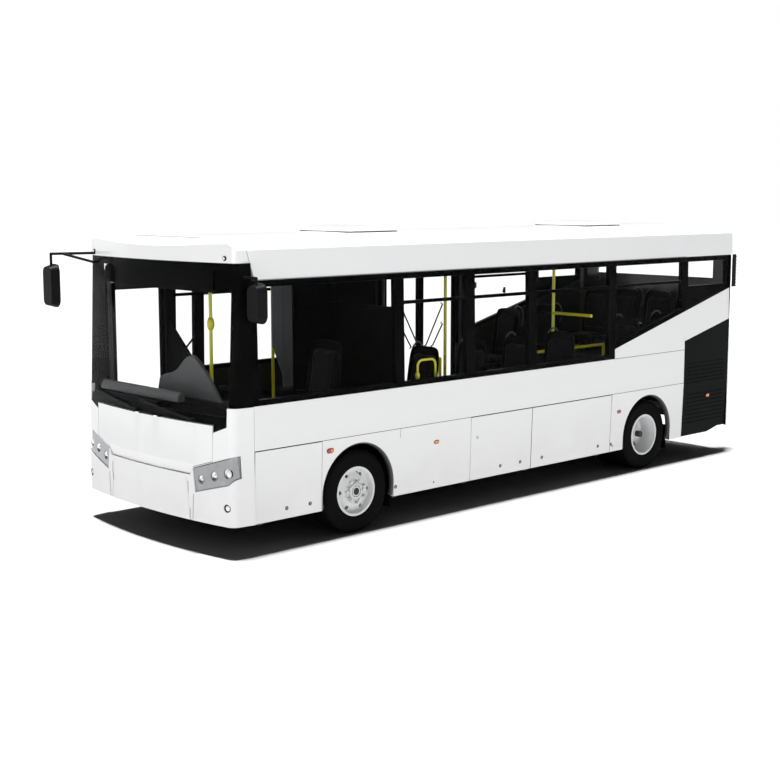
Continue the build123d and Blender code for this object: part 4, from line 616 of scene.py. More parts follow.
class BusSizes(bpy.types.PropertyGroup):
    tread_depth: length_value("Tread depth", "Depth of the main tread grooves", 0.009)
    nut_across: length_value("Nut size", "Wheel nut, across its flats", 0.030)
    latch: length_value("Latch size", "Outer width of a flap latch", 0.036)
    reflector: length_value("Side lamp", "Width of a side lamp", 0.085)
    seam: length_value("Seam", "Width of the sewn channel on a cushion", 0.008)
    grab_tube: length_value("Grab tube", "Diameter of the seats' grab handles", 0.024)
    tread_lugs: bpy.props.IntProperty(name="Tread lugs", description="Lugs round each shoulder",
                                      default=64, min=24)
    wheel_nuts: bpy.props.IntProperty(name="Wheel nuts", description="Nuts on each wheel",
                                      default=6, min=4)


def sizes():
    return bpy.context.scene.bus_sizes


# ---------------------------------------------------------------- finishes
CABIN_MIDDLE = (0.0, 0.0, 1.5)
NODE_FINISHES = {
    "body_white": ("front_bumper", "front_flap", "flap_front_left", "flap_middle_left",
                   "flap_rear_left", "hatch_front", "hatch_rear"),
    # These panels carry painted cabin shade on their inner faces.
    "body_with_painted_cabin_shade": ("side_wall_left", "side_wall_right", "roof", "front_dome",
                   "rear_wall"),
    "body_black": ("screen_frame", "engine_hood", "window_frames", "door_front_leaf",
                   "door_mid_a_leaf", "door_mid_b_leaf"),
    "corner_panel": ("radiator_door", "rear_corners", "rear_louvre"),
    "clear_glass": ("side_glass", "windscreen", "rear_glass", "door_front_glass",
                    "door_mid_a_glass", "door_mid_b_glass"),
    "lamp_housing": ("headlamps",),
    "lens_red": ("tail_lamps",),
    "steel_dark": ("door_front_post", "door_mid_a_post", "door_mid_b_post"),
    "cover_grey": ("door_gear",),
    "floor_covering": ("floor",),
    "liner_plastic": ("wheel_housings",),
    "frame_paint": ("chassis_frame", "tie_rod"),
    "cast_iron": ("front_axle", "rear_axle", "knuckle_left", "knuckle_right", "engine_block"),
    "wheel_silver": tuple(f"wheel_{end}_{side}_rim" for end in ("front", "rear")
                          for side in ("left", "right")),
    "tyre_rubber": tuple(f"wheel_{end}_{side}_tyre" for end in ("front", "rear")
                         for side in ("left", "right")),
    "soft_black": ("dashboard", "steering_wheel", "destination_sign", "driver_partition"),
    "seat_shell": ("passenger_seats", "driver_seat"),
    "rail_yellow": ("handrails",),
    "moulded_black": ("mirrors", "wipers"),
}


class BUS_OT_finishes(bpy.types.Operator):
    """Makes every finish and puts one on each node of the frame"""

    bl_idname = "bus.finishes"
    bl_label = "Finishes"

    def execute(self, context):
        colours = context.scene.bus_colours
        GROUPS.update(surface_grain=make_grain(), cabin_side=make_inside(),
                      plain_weave=make_weave())
        TREES.update(row=make_row_tree(), ring=make_ring_tree())
        body, trim, cabin = tuple(colours.body), tuple(colours.trim), tuple(colours.cabin)
        finish("body_white", body, 0.3, coat=0.35, grain=140, bump=0.03, spread=0.012, film=0.25)
        # Body panels round the cabin: white outside, painted cabin shade on the faces towards the
        # cabin.
        finish("body_with_painted_cabin_shade", body, 0.3, coat=0.35, grain=140, bump=0.03, spread=0.012, film=0.25,
               inside=cabin, centre=CABIN_MIDDLE)
        finish("body_black", trim, 0.36, grain=160, bump=0.03, spread=0.15, specular=0.02)
        finish("corner_panel", tuple(colours.corner), 0.42, grain=700, bump=0.12, spread=0.2,
               film=0.05, film_colour=(0.03, 0.03, 0.027), specular=0.03)
        finish("clear_glass", (0.97, 0.98, 0.975), 0.006, glass=True, ior=1.05, grain=5, bump=0.004,
               spread=0.005, variation=0.006, patch=1.5)
        finish("mirror_glass", (0.8, 0.82, 0.84), 0.03, metal=1.0, variation=0.02, grain=6,
               bump=0.01)
        finish("lamp_housing", (0.3, 0.31, 0.32), 0.22, metal=0.3, coat=0.8, grain=90, bump=0.1,
               spread=0.25, patch=14)
        finish("reflector_bright", (0.9, 0.91, 0.92), 0.12, metal=0.9, grain=60, bump=0.25,
               spread=0.1, patch=30)
        finish("lens_white", (0.93, 0.94, 0.95), 0.12, coat=1.0, grain=220, bump=0.3, spread=0.05)
        finish("lens_red", (0.42, 0.012, 0.01), 0.18, coat=1.0, grain=260, bump=0.35, spread=0.25)
        finish("lens_amber", (0.85, 0.24, 0.015), 0.18, coat=1.0, grain=260, bump=0.35, spread=0.2)
        finish("steel_dark", (0.03, 0.031, 0.033), 0.45, metal=0.6, grain=300, bump=0.08,
               spread=0.3)
        finish("steel_bright", (0.5, 0.5, 0.5), 0.3, metal=0.95, grain=500, bump=0.08, spread=0.2)
        finish("cover_grey", (0.06, 0.062, 0.065), 0.5, grain=800, bump=0.15, spread=0.1)
        finish("floor_covering", (0.03, 0.031, 0.033), 0.62, grain=380, bump=0.4, spread=0.35,
               patch=220)
        finish("liner_plastic", (0.012, 0.012, 0.012), 0.75, grain=260, bump=0.4, film=0.1,
               film_colour=(0.03, 0.028, 0.025), spread=0.3, specular=0.1)
        finish("frame_paint", (0.012, 0.012, 0.012), 0.6, grain=180, bump=0.3, film=0.15,
               film_colour=(0.06, 0.055, 0.05), spread=0.3)
        finish("cast_iron", (0.05, 0.05, 0.05), 0.6, metal=0.4, grain=240, bump=0.6, film=0.15,
               film_colour=(0.07, 0.06, 0.05), spread=0.3)
        finish("wheel_silver", tuple(colours.rim), 0.4, metal=0.1, coat=0.15, grain=260, bump=0.08,
               spread=0.12, film=0.35, film_colour=(0.2, 0.19, 0.17), patch=9)
        finish("tyre_rubber", (0.004, 0.004, 0.0042), 0.72, grain=500, bump=0.35, spread=0.3,
               film=0.08, film_colour=(0.016, 0.015, 0.014), specular=0.04)
        finish("rubber_seal", (0.004, 0.004, 0.004), 0.65, grain=600, bump=0.2, spread=0.3,
               specular=0.04)
        finish("soft_black", (0.004, 0.004, 0.0044), 0.62, grain=900, bump=0.45, spread=0.2,
               specular=0.04)
        finish("moulded_black", (0.006, 0.006, 0.0064), 0.42, grain=1100, bump=0.3, spread=0.2,
               specular=0.08)
        finish("seat_shell", (0.003, 0.003, 0.0034), 0.45, grain=900, bump=0.2, spread=0.2,
               specular=0.05)
        # Seat cloth colour holds the cloth's own dark tone plus painted cabin shade.
        finish("seat_cloth", tuple(colours.seat), 0.9, grain=500, bump=0.6, spread=0.5,
               weave=2600.0, sheen=0.06, specular=0.1)
        finish("rail_yellow", tuple(colours.rail), 0.3, coat=0.5, grain=350, bump=0.1, spread=0.05)
        finish("display_dark", (0.003, 0.003, 0.0034), 0.3, grain=900, bump=0.05, spread=0.3,
               specular=0.05)
        finish("pale_grey", (0.42, 0.43, 0.44), 0.45, grain=500, bump=0.12, spread=0.06)
        for name, nodes in NODE_FINISHES.items():
            for node in nodes:
                made = NODES[node]
                made.data.materials.clear()
                made.data.materials.append(FINISHES[name])
        return {"FINISHED"}


# ---------------------------------------------------------------- body lines
SKIRT_Z = low("flap_middle_left").z
SEAM_Z = high("flap_middle_left").z + 0.010
SILL_Z = low("side_glass").z - 0.002
CANT_Z = high("side_glass").z + 0.002
BUMPER_X = station(5.706)
BAND_X = station(0.648)
LAST_BAY_X = station(-0.684)
SKIRT_TUCK, GLASS_LEAN = 0.020, 0.020
FLOOR_Z = 0.380
DOOR_SPANS = ((station(5.020), station(5.660)), (station(0.780), station(2.000)))
ARCH_R, ARCH_Z = 0.450, 0.420


def side_y(z):
    """Half width of the skin at height z."""
    if z < SEAM_Z:
        return SIDE_Y - SKIRT_TUCK * (SEAM_Z - z) / (SEAM_Z - SKIRT_Z)
    if z > SILL_Z:
        return SIDE_Y - GLASS_LEAN * (z - SILL_Z) / (CANT_Z - SILL_Z)
    return SIDE_Y


def clear_runs(start, end, gaps):
    """Parts of a run along X that lie between the gaps."""
    runs = []
    for a, b in sorted(gaps):
        if a > start:
            runs.append((start, min(a, end)))
        start = max(start, b)
    if start < end:
        runs.append((start, end))
    return [r for r in runs if r[1] - r[0] > 0.01]


BEAD_WIDTH, BEAD_DEPTH = 0.003, 0.0046
BEAD_INSET = 0.0024             # middle of a bead behind the skin
LINING = 0.0009                 # thickness of a shut line's lining
LINING_NEAR, LINING_FAR = 0.003, 0.0225     # its edges behind the skin


class BUS_OT_seals(bpy.types.Operator):
    """Black beads in the panel seams and linings in the shut lines of the flaps"""

    bl_idname = "bus.seals"
    bl_label = "Seams and shut lines"

    def execute(self, context):
        beads = Form()
        for side in (1, -1):
            gaps = DOOR_SPANS if side < 0 else ()
            for z, x0, x1 in ((SEAM_Z - 0.0025, LAST_BAY_X, BUMPER_X),
                              (SILL_Z, LAST_BAY_X, BAND_X)):
                for a, b in clear_runs(x0, x1, gaps):
                    y = side * (SIDE_Y - BEAD_INSET)
                    beads.bar((a + 0.001, y, z), (b - 0.001, y, z), BEAD_WIDTH, BEAD_DEPTH)
            for x, z0, z1 in ((station(3.948), SKIRT_Z, SEAM_Z - 0.005),
                              (station(0.684), SKIRT_Z, SEAM_Z - 0.005),
                              (LAST_BAY_X, SEAM_Z, SILL_Z - 0.003)):
                if side < 0 and z1 < 1.0 and DOOR_SPANS[1][0] - 0.2 < x < DOOR_SPANS[1][1]:
                    continue
                beads.bar((x, side * (side_y(z0) - BEAD_INSET), z0 + 0.002),
                          (x, side * (side_y(z1) - BEAD_INSET), z1), BEAD_WIDTH, BEAD_DEPTH,
                          up=AHEAD)
        beads.piece("seam_beads", "root", "rubber_seal", "plastic_black")
        for flap in ("flap_front_left", "flap_middle_left", "flap_rear_left"):
            a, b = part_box(flap)
            lining, pocket = Form(), Form()
            outline = [(side_y(z) - d, z) for z, d in
                       ((SKIRT_Z + 0.004, LINING_NEAR), (b.z, LINING_NEAR), (b.z, LINING_FAR),
                        (SKIRT_Z + 0.004, LINING_FAR))]
            for form, out, thick in ((lining, 0.0002, LINING), (pocket, 0.0049, -LINING)):
                for x, step in ((a.x - out, -thick), (b.x + out, thick)):
                    form.plate(outline, (x, 0, 0), LEFT, UP, step)
            lining.block((a.x, SIDE_Y - LINING_FAR, b.z + 0.0002),
                         (b.x, SIDE_Y - LINING_NEAR, b.z + 0.0011))
            pocket.block((a.x - 0.004, SIDE_Y - LINING_FAR, SEAM_Z - 0.0011),
                         (b.x + 0.004, SIDE_Y - LINING_NEAR, SEAM_Z - 0.0002))
            lining.piece(flap + "_seal", flap, "rubber_seal", "plastic_black")
            pocket.piece(flap + "_pocket_seal", "root", "rubber_seal", "plastic_black")
        return {"FINISHED"}


# ---------------------------------------------------------------- wheels
WHEELS = {"wheel_front_left": 1, "wheel_front_right": -1, "wheel_rear_left": 1,
          "wheel_rear_right": -1}
TWIN_PITCH = 0.265
TYRE_HALF = 0.117
WHEEL_INSET = 0.050             # tyre's outer face behind the skin
# (radius, offset) from the bead to the shoulder
TYRE_SIDE = ((0.223, 0.094), (0.232, 0.103), (0.243, 0.1085), (0.262, 0.1125), (0.268, 0.1152),
             (0.272, 0.1152), (0.277, 0.1132), (0.300, 0.1158), (0.325, 0.1166), (0.345, 0.1158),
             (0.352, 0.1166), (0.357, 0.1152), (0.368, 0.1120), (0.380, 0.1070), (0.389, 0.1000),
             (0.3945, 0.0920))
TREAD_EDGE = 0.0840
GROOVES = (0.056, 0.019, -0.019, -0.056)
# (offset, height over the tread) of a shoulder lug
LUG_SECTION = ((0.082, -0.004), (0.082, 0.0003), (0.092, -0.0024), (0.1010, -0.0085),
               (0.1068, -0.0165), (0.1030, -0.0185), (0.094, -0.011))
LUG_HALF = 0.0085
NUT_HEIGHT = 0.012
STUD = ((0.0, 0.010), (0.009, 0.010), (0.009, 0.021), (0.006, 0.0235), (0.0, 0.0235))
COVER_BOLT = ((0.0, 0.0), (0.0065, 0.0), (0.0065, 0.005), (0.004, 0.0065), (0.0, 0.0065))
COVER_BOLTS = 8
VALVE_R = 0.0042
# rim's face outwards from the tyre's middle, circles of the nuts and of the cover's bolts,
# the bolts' place along the axle, outline of the hub cover and line of the valve
HUBS = {
    "front": {"face": 0.115, "nuts": 0.1025, "phase": 0.0, "bolts": 0.052, "reach": -0.001,
              "cover": ((0.0, -0.004), (0.060, -0.004), (0.058, 0.0), (0.050, 0.002), (0.047, 0.0),
                        (0.042, -0.0005), (0.0, 0.001)),
              "valve": ((-0.005, 0.0, 0.19), (0.012, 0.0, 0.188), (0.03, 0.0, 0.176))},
    "rear": {"face": -0.080, "nuts": 0.1245, "phase": pi / 6, "bolts": 0.073, "reach": 0.034,
             "cover": ((0.0, -0.10), (0.088, -0.10), (0.088, 0.030), (0.080, 0.036),
                       (0.066, 0.036), (0.064, 0.070), (0.056, 0.078), (0.0, 0.080)),
             "valve": ((-0.02, 0.0, 0.15), (0.02, 0.0, 0.152), (0.05, 0.0, 0.165))},
}


def tyre_profile(depth):
    """Closed (radius, offset) outline of a road tyre with four tread grooves."""
    tread = [(TYRE_R - 0.0012, TREAD_EDGE)]
    for centre in GROOVES:
        for edge, drop in ((0.0055, 0.0), (0.0035, depth), (-0.0035, depth), (-0.0055, 0.0)):
            tread.append((TYRE_R - 0.0004 - drop, centre + edge))
    tread.append((TYRE_R - 0.0012, -TREAD_EDGE))
    return [*TYRE_SIDE, *tread, *((a, -b) for a, b in reversed(TYRE_SIDE))]


class BUS_OT_tyres(bpy.types.Operator):
    """Tyres with tread grooves, shoulder lugs and side rings"""

    bl_idname = "bus.tyres"
    bl_label = "Tyres"

    def execute(self, context):
        values = sizes()
        for wheel, side in WHEELS.items():
            a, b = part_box(wheel + "_tyre")
            axle = (a + b) / 2
            outer = side * (max(abs(a.y), abs(b.y)) - TYRE_HALF)
            rows = [outer] + ([outer - side * TWIN_PITCH] if "rear" in wheel else [])
            meshes = []
            for y in rows:
                turn = Matrix.Translation((axle.x, y, TYRE_R)) @ Matrix.Rotation(pi / 2, 4, "Z")
                casing = Form().turned(tyre_profile(values.tread_depth), ORIGIN, AHEAD, 96,
                                       closed=True)
                meshes.append(casing.plain("casing", "tyre_rubber", turn))
                for edge in (1, -1):
                    points = [(edge * d, w, h) for w in (-LUG_HALF, LUG_HALF)
                              for d, h in LUG_SECTION]
                    lug = Form().faces(points, prism_loops(len(LUG_SECTION)), 0, False)
                    meshes.append(repeated("ring", lug, "tyre_rubber", turn,
                                           Count=values.tread_lugs, Radius=TYRE_R - 0.0005,
                                           Phase=0.05 * (edge + 1)))
            made = put(wheel + "_road_tyre", meshes, wheel)
            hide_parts(wheel + "_tyre")
        return {"FINISHED"}


class BUS_OT_wheel_fittings(bpy.types.Operator):
    """Wheel nuts, hub cover with its bolts, and valve of each wheel"""

    bl_idname = "bus.wheel_fittings"
    bl_label = "Wheel nuts and hubs"

    def execute(self, context):
        values = sizes()
        corner = values.nut_across / 2 / cos(pi / 6)
        hexagon = [(corner * cos(pi * i / 3), corner * sin(pi * i / 3)) for i in range(6)]
        for wheel, side in WHEELS.items():
            hub = HUBS["rear" if "rear" in wheel else "front"]
            face = side * (SIDE_Y - WHEEL_INSET - TYRE_HALF) + side * hub["face"]
            place = (Matrix.Translation((middle(wheel + "_rim").x, face, TYRE_R))
                     @ Matrix.Rotation(side * pi / 2, 4, "Z"))
            reach = Matrix.Translation((hub["reach"], 0, 0))
            nut = Form().plate(hexagon, ORIGIN, LEFT, UP, NUT_HEIGHT)
            nut.turned(STUD, ORIGIN, AHEAD, 12)
            bolt = Form().turned(COVER_BOLT, ORIGIN, AHEAD, 6)
            put(wheel + "_fittings", [
                repeated("ring", nut, "steel_bright", place, Count=values.wheel_nuts,
                         Radius=hub["nuts"], Phase=hub["phase"]),
                Form().turned(hub["cover"], ORIGIN, AHEAD, 40).plain("hub", "steel_dark", place),
                repeated("ring", bolt, "steel_bright", place @ reach, Count=COVER_BOLTS,
                         Radius=hub["bolts"], Phase=0.2),
                Form().tube(hub["valve"], VALVE_R, 8).plain("valve", "steel_dark", place),
            ], wheel)
        return {"FINISHED"}


# ---------------------------------------------------------------- lamps
# (y, z, radius, finish of its middle) of the bowls in each headlamp
LAMP_BOWLS = ((0.781, 0.674, 0.040, "reflector_bright"), (0.946, 0.722, 0.044, "reflector_bright"),
              (1.105, 0.763, 0.046, "lens_white"))
FOG_LAMP = (1.105, 0.457, 0.036)


class BUS_OT_headlamps(bpy.types.Operator):
    """Bowls, bulbs and rims of the headlamps, and the fog lamps"""

    bl_idname = "bus.headlamps"
    bl_label = "Headlamps and fog lamps"

    def execute(self, context):
        bowls, lenses = Form(), Form()
        for side in (1, -1):
            for y, z, r, kind in LAMP_BOWLS:
                x = on_front("headlamps", side * y, z)[0].x
                bowls.turned([(r - 0.001, 0.0005), (r - 0.001, 0.014), (r - 0.0025, 0.0155),
                              (r - 0.0045, 0.014), (r - 0.007, 0.005), (r - 0.020, 0.0012),
                              (0.0, 0.0008)], (x, side * y, z), AHEAD, 40, 0)
                bowls.turned([(r + 0.0010, 0.0005), (r + 0.0010, 0.0135), (r - 0.0008, 0.0135),
                              (r - 0.0008, 0.0005)], (x, side * y, z), AHEAD, 40, 1, closed=True)
                if kind == "lens_white":
                    lenses.turned([(0.0, 0.002), (r - 0.012, 0.002), (r - 0.0115, 0.010),
                                   (r - 0.018, 0.017), (r - 0.028, 0.021), (0.0, 0.0225)],
                                  (x, side * y, z), AHEAD, 40, 0)
                else:
                    lenses.turned([(0.0, 0.001), (0.012, 0.001), (0.012, 0.010), (0.017, 0.012),
                                   (0.015, 0.018), (0.006, 0.0215), (0.0, 0.022)],
                                  (x, side * y, z), AHEAD, 28, 0)
            y, z, r = FOG_LAMP
            face, normal = on_front("headlamps", side * y, z)
            bowls.turned([(r - 0.001, 0.0), (r - 0.001, 0.006), (r - 0.004, 0.009),
                          (r - 0.008, 0.007), (r - 0.010, 0.0008), (0.0, 0.0005)],
                         face, normal, 40, 1)
            lenses.turned([(0.0, 0.0006), (r - 0.011, 0.0006), (r - 0.012, 0.004),
                           (r - 0.020, 0.0065), (0.0, 0.0075)], face, normal, 32, 0)
        bowls.piece("headlamp_bowls", "root", ["reflector_bright", "moulded_black"], "lamp_clear")
        lenses.piece("headlamp_bulbs", "root", ["lens_white"], "lamp_clear")
        return {"FINISHED"}


LAMP_FINISHES = ["moulded_black", "lens_red", "lens_amber", "lens_white"]
HOUSING, RED, AMBER, WHITE = range(4)
# (station, height, share of the full width, lens) of the lamps along each side
SIDE_LAMPS = ((4.837, 0.839, 1.0, RED), (3.456, 0.749, 0.8, AMBER), (0.543, 0.731, 0.8, RED))
MARKER_LAMP = (1.045, 2.62)     # y and z on the dome
DOOR_LAMP = (-1.187, 0.748)     # station and height on the radiator door


class BUS_OT_side_lamps(bpy.types.Operator):
    """Lamps along the skirts and on the radiator door, and marker lamps on the dome"""

    bl_idname = "bus.side_lamps"
    bl_label = "Side and marker lamps"

    def execute(self, context):
        wide = sizes().reflector
        lamps = Form()
        for side in (1, -1):
            wall = "side_wall_left" if side > 0 else "side_wall_right"
            for place, z, share, lens in SIDE_LAMPS:
                point, normal = hit(wall, (station(place), side * 2.0, z), (0, -side, 0))
                up = Vector((0, 0, 1)) - normal * normal.z
                right = up.cross(normal)
                w, h = wide * share, wide * 0.55 * share
                lamps.plate(rounded(w, h, h * 0.48), point, right, up, 0.004, HOUSING, -0.0005)
                inner = rounded(w - 0.010, h - 0.010, (h - 0.010) * 0.48)
                lamps.plate(inner, point, right, up, 0.004, lens, 0.0034)
                if lens == RED and place > 4:
                    half = [(u * 0.42 + w * 0.2, v * 0.86) for u, v in inner]
                    lamps.plate(half, point, right, up, 0.0028, AMBER, 0.0072)
            y, z = MARKER_LAMP
            point, normal = hit("front_dome", (NOSE_X + 1.0, side * y, z), (-1, 0, 0))
            lamps.turned([(0.0, -0.001), (0.021, -0.001), (0.021, 0.006), (0.016, 0.010),
                          (0.0, 0.0115)], point, normal, 24, HOUSING)
            lamps.turned([(0.0, 0.0105), (0.011, 0.0105), (0.010, 0.014), (0.0, 0.0155)],
                         point, normal, 20, WHITE)
        lamps.piece("side_lamps", "root", LAMP_FINISHES, "lamp_red", bevel=0.0008, segments=1)
        door = Form()
        place, z = DOOR_LAMP
        point = (station(place), side_y(z), z)
        door.plate(rounded(0.075, 0.045, 0.021), point, (-1, 0, 0), UP, 0.0088, HOUSING, -0.001)
        door.plate(rounded(0.062, 0.033, 0.016), point, (-1, 0, 0), UP, 0.004, AMBER, 0.0049)
        door.piece("radiator_door_lamp", "radiator_door", LAMP_FINISHES, "lamp_red", bevel=0.0008,
                   segments=1)
        return {"FINISHED"}


# ---------------------------------------------------------------- skirt hardware
# (node, station, height) of the quarter-turn latches
LATCHES = (("flap_front_left", 5.343, 0.380), ("flap_middle_left", 2.509, 0.379),
           ("flap_rear_left", 1.853, 0.381), ("flap_rear_left", 0.900, 0.381),
           ("flap_middle_left", 2.200, 0.379), ("flap_front_left", 5.070, 0.380),
           ("side_wall_left", 4.001, 0.378), ("side_wall_left", 0.666, 0.372))
FLAP_LOCK = (2.868, 0.721)
JACK_MARKS = ((3.482, 0.351), (0.640, 0.351))


def on_skirt(node, place, z, side=1):
    """Point, rightward and upward directions and outward normal on a skirt panel."""
    point, normal = hit(node, (station(place), side * 2.0, z), (0, -side, 0))
    up = (Vector(UP) - normal * normal.z).normalized()
    return point, up.cross(normal), up, normal


class BUS_OT_latches(bpy.types.Operator):
    """Latches and lock on the left skirt, and jack marks on both skirts"""

    bl_idname = "bus.latches"
    bl_label = "Latches and locks"

    def execute(self, context):
        size = sizes().latch
        forms = {}
        for node, place, z in LATCHES:
            body = node if node in frame["bodies"] else "root"
            form = forms.setdefault((node, body), Form())
            point, _, up, normal = on_skirt(node, place, z)
            form.turned([(0.0, -0.0004), (size / 2, -0.0004), (size / 2, 0.0012),
                         (size / 2 - 0.003, 0.0022), (size / 2 - 0.006, 0.0022),
                         (size / 2 - 0.0075, 0.0006), (0.0, 0.0006)],
                        point, normal, 28, 0)
            form.bar(point - up * size * 0.28, point + up * size * 0.28, 0.007, 0.006, normal, 1)
        for (node, body), form in forms.items():
            form.piece(node + "_latches", body, ["moulded_black", "steel_bright"], "plastic_black")
        lock = Form()
        point, _, _, normal = on_skirt("flap_middle_left", *FLAP_LOCK)
        lock.turned([(0.0, -0.0004), (0.016, -0.0004), (0.016, 0.002), (0.013, 0.0032),
                     (0.006, 0.0032), (0.005, 0.002), (0.0, 0.002)], point, normal, 28, 0)
        lock.piece("flap_middle_left_lock", "flap_middle_left", "steel_bright", "steel_rim")
        marks = Form()
        for place, z in JACK_MARKS:
            for side, wall in ((1, "side_wall_left"), (-1, "side_wall_right")):
                point, right, up, _ = on_skirt(wall, place, z, side)
                marks.plate([(-0.012, -0.010), (0.012, -0.010), (0.0, 0.012)], point, right, up,
                            0.0012, 0, -0.0002)
        marks.piece("jack_marks", "root", "moulded_black", "plastic_black")
        return {"FINISHED"}


# ---------------------------------------------------------------- arches
# (inside the arch's edge, behind the skin) round the section of a lip
LIP_SECTION = ((0.0005, 0.004), (0.0005, 0.056), (0.014, 0.056), (0.014, 0.012), (0.006, 0.004))
LIP_STEPS = 40
GUARD_X = -0.47                 # mud guard from its axle
GUARD_Z = (0.17, 0.46)
GUARD_RIBS = (0.22, 0.06, 4)    # lowest, step, count


def degrees_at(z):
    """Angle below the middle where the arch meets a height, from the horizontal."""
    return -abs(atan2(ARCH_Z - z, sqrt(ARCH_R ** 2 - (ARCH_Z - z) ** 2))) * 180 / pi


class BUS_OT_arches(bpy.types.Operator):
    """Lips round the wheel arches and flaps behind the wheels"""

    bl_idname = "bus.arches"
    bl_label = "Wheel arches"

    def execute(self, context):
        lips, guards = Form(), Form()
        foot = degrees_at(SKIRT_Z + 0.01)
        turns = [foot + (180 - 2 * foot) * i / LIP_STEPS for i in range(LIP_STEPS + 1)]
        n = len(LIP_SECTION)
        last = n * LIP_STEPS
        loops = [(n * i + k, n * i + (k + 1) % n, n * i + n + (k + 1) % n, n * i + n + k)
                 for i in range(LIP_STEPS) for k in range(n)]
        loops += [tuple(range(n)), tuple(range(last + n - 1, last - 1, -1))]
        for axle in (FRONT_AXLE.x, REAR_AXLE.x):
            for side in (1, -1):
                points = []
                for turn in turns:
                    for inside, d in LIP_SECTION:
                        r = ARCH_R - inside
                        z = ARCH_Z + r * sin(radians(turn))
                        points.append((axle + r * cos(radians(turn)), side * (side_y(z) - d), z))
                lips.faces(points, loops, 0, True)
                x = axle + GUARD_X
                y0, y1 = side * (SIDE_Y - 0.085), side * (SIDE_Y - 0.33 - (0.2 if axle < 0 else 0))
                guards.block((x, y0, GUARD_Z[0]), (x + 0.006, y1, GUARD_Z[1]))
                lowest, step, count = GUARD_RIBS
                for k in range(count):
                    z = lowest + step * k
                    guards.bar((x + 0.0075, y0 - side * 0.02, z), (x + 0.0075, y1 + side * 0.02, z),
                               0.006, 0.004)
        lips.piece("arch_lips", "root", "cover_grey", "plastic_grey")
        guards.piece("mud_guards", "root", "rubber_seal", "plastic_black")
        return {"FINISHED"}


# ---------------------------------------------------------------- seats
# (station of the back's foot, height of the cushion's top, height over its foot, sides)
SEAT_ROWS = ((3.440, 1.070, 0.43, (1, -1)), (2.740, 1.070, 0.43, (1, -1)),
             (2.040, 1.070, 0.43, (1,)), (1.340, 1.070, 0.43, (1,)),
             (0.180, 1.150, 0.26, (1, -1)), (-0.560, 1.150, 0.26, (1, -1)))
SEAT_MIDDLE_Y = 0.905
BENCH_STATION, BENCH_TOP, BENCH_LIFT = -1.340, 1.350, 0.20
BENCH_PLACES = (0.740, 0.260, -0.220, -0.700)
DRIVER_SEAT = (4.500, 0.640, 1.180, 480 / 430)
# Outer line of a shell as (forward, up, half width), from the pan's lip to the top of the back
SHELL_LINE = ((0.418, -0.012, 0.196), (0.412, -0.038, 0.208), (0.378, -0.056, 0.213),
              (0.250, -0.052, 0.214), (0.100, -0.045, 0.214), (-0.010, -0.038, 0.214),
              (-0.050, -0.018, 0.213), (-0.066, 0.040, 0.213), (-0.086, 0.200, 0.213),
              (-0.110, 0.370, 0.212), (-0.128, 0.490, 0.206), (-0.135, 0.550, 0.192),
              (-0.137, 0.580, 0.168), (-0.134, 0.594, 0.128))
BACK_LEAN = Vector((-0.147, 0.0, 0.989))
SHELL_T = 0.012
SHELL_ACROSS = (-1.0, -0.94, -0.82, -0.5, 0.0, 0.5, 0.82, 0.94, 1.0)
# (up the back, behind it, towards the aisle) along a grab handle, from the shell's edge
GRIP_LINE = ((0.40, -0.045, 0.0), (0.42, -0.058, 0.012), (0.50, -0.060, 0.016),
             (0.585, -0.055, -0.004), (0.625, -0.050, -0.045), (0.632, -0.050, -0.090),
             (0.612, -0.050, -0.122), (0.570, -0.050, -0.138), (0.520, -0.052, -0.142))
GRIP_Y = 0.205
PAD_PRESSURE, PAD_VOXEL, PAD_SWELL = 4.0, 0.0085, 0.024
PAD_STEPS = 20
PAD_CHANNELS = (-0.105, 0.105)
CHANNEL_DEPTH, HEM_DEPTH, HEM_WIDTH = 0.0075, 0.0035, 0.006


def seat_shell_form():
    """Moulded shell of one seat at the origin, its edges turned in towards the sitter."""
    line = [Vector((x, 0, z)) for x, z, _ in SHELL_LINE]
    points, cols = [], len(SHELL_ACROSS)
    for depth in (0.0, SHELL_T):
        for i, (x, z, half) in enumerate(SHELL_LINE):
            way = (line[min(i + 1, len(line) - 1)] - line[max(i - 1, 0)]).normalized()
            inward = Vector((-way.z, 0, way.x)) * (-1.0)
            for t in SHELL_ACROSS:
                lip = 0.030 * max(0.0, (abs(t) - 0.8) / 0.2) ** 2
                across = Vector((0, half * t * (1 - depth * 2), 0))
                points.append(line[i] + inward * (depth + lip) + across)
    rows, layer, loops = len(SHELL_LINE), len(SHELL_LINE) * cols, []
    for i in range(rows - 1):
        for k in range(cols - 1):
            a = i * cols + k
            loops.append((a, a + 1, a + cols + 1, a + cols))
            loops.append((layer + a, layer + a + cols, layer + a + cols + 1, layer + a + 1))
    rim = (list(range(cols)) + [i * cols + cols - 1 for i in range(1, rows)]
           + [(rows - 1) * cols + k for k in range(cols - 2, -1, -1)]
           + [i * cols for i in range(rows - 2, 0, -1)])
    for a, b in zip(rim, rim[1:] + rim[:1]):
        loops.append((a, layer + a, layer + b, b))
    return Form().faces(points, loops)


def pad_outline(width, length, near, far, pinch):
    """Outline of a pad, its corners round and its sides drawn in between them."""
    points = []
    for sx, sy, r, start in ((1, 1, far, 0), (-1, 1, far, 90), (-1, -1, near, 180),
                             (1, -1, near, 270)):
        for i in range(7):
            turn = radians(start + 90 * i / 6)
            points.append((sx * (width / 2 - r) + r * cos(turn),
                           sy * (length / 2 - r) + r * sin(turn)))
    drawn = []
    for i, (u, v) in enumerate(points):
        following = points[(i + 1) % len(points)]
        run = hypot(following[0] - u, following[1] - v)
        for k in range(max(1, int(run / 0.03))):
            share = k / max(1, int(run / 0.03))
            p = u + (following[0] - u) * share
            q = v + (following[1] - v) * share
            p *= 1 - pinch * (1 - (2 * q / length) ** 2)
            q *= 1 - pinch * (1 - (2 * p / width) ** 2)
            drawn.append((p, q))
    return drawn


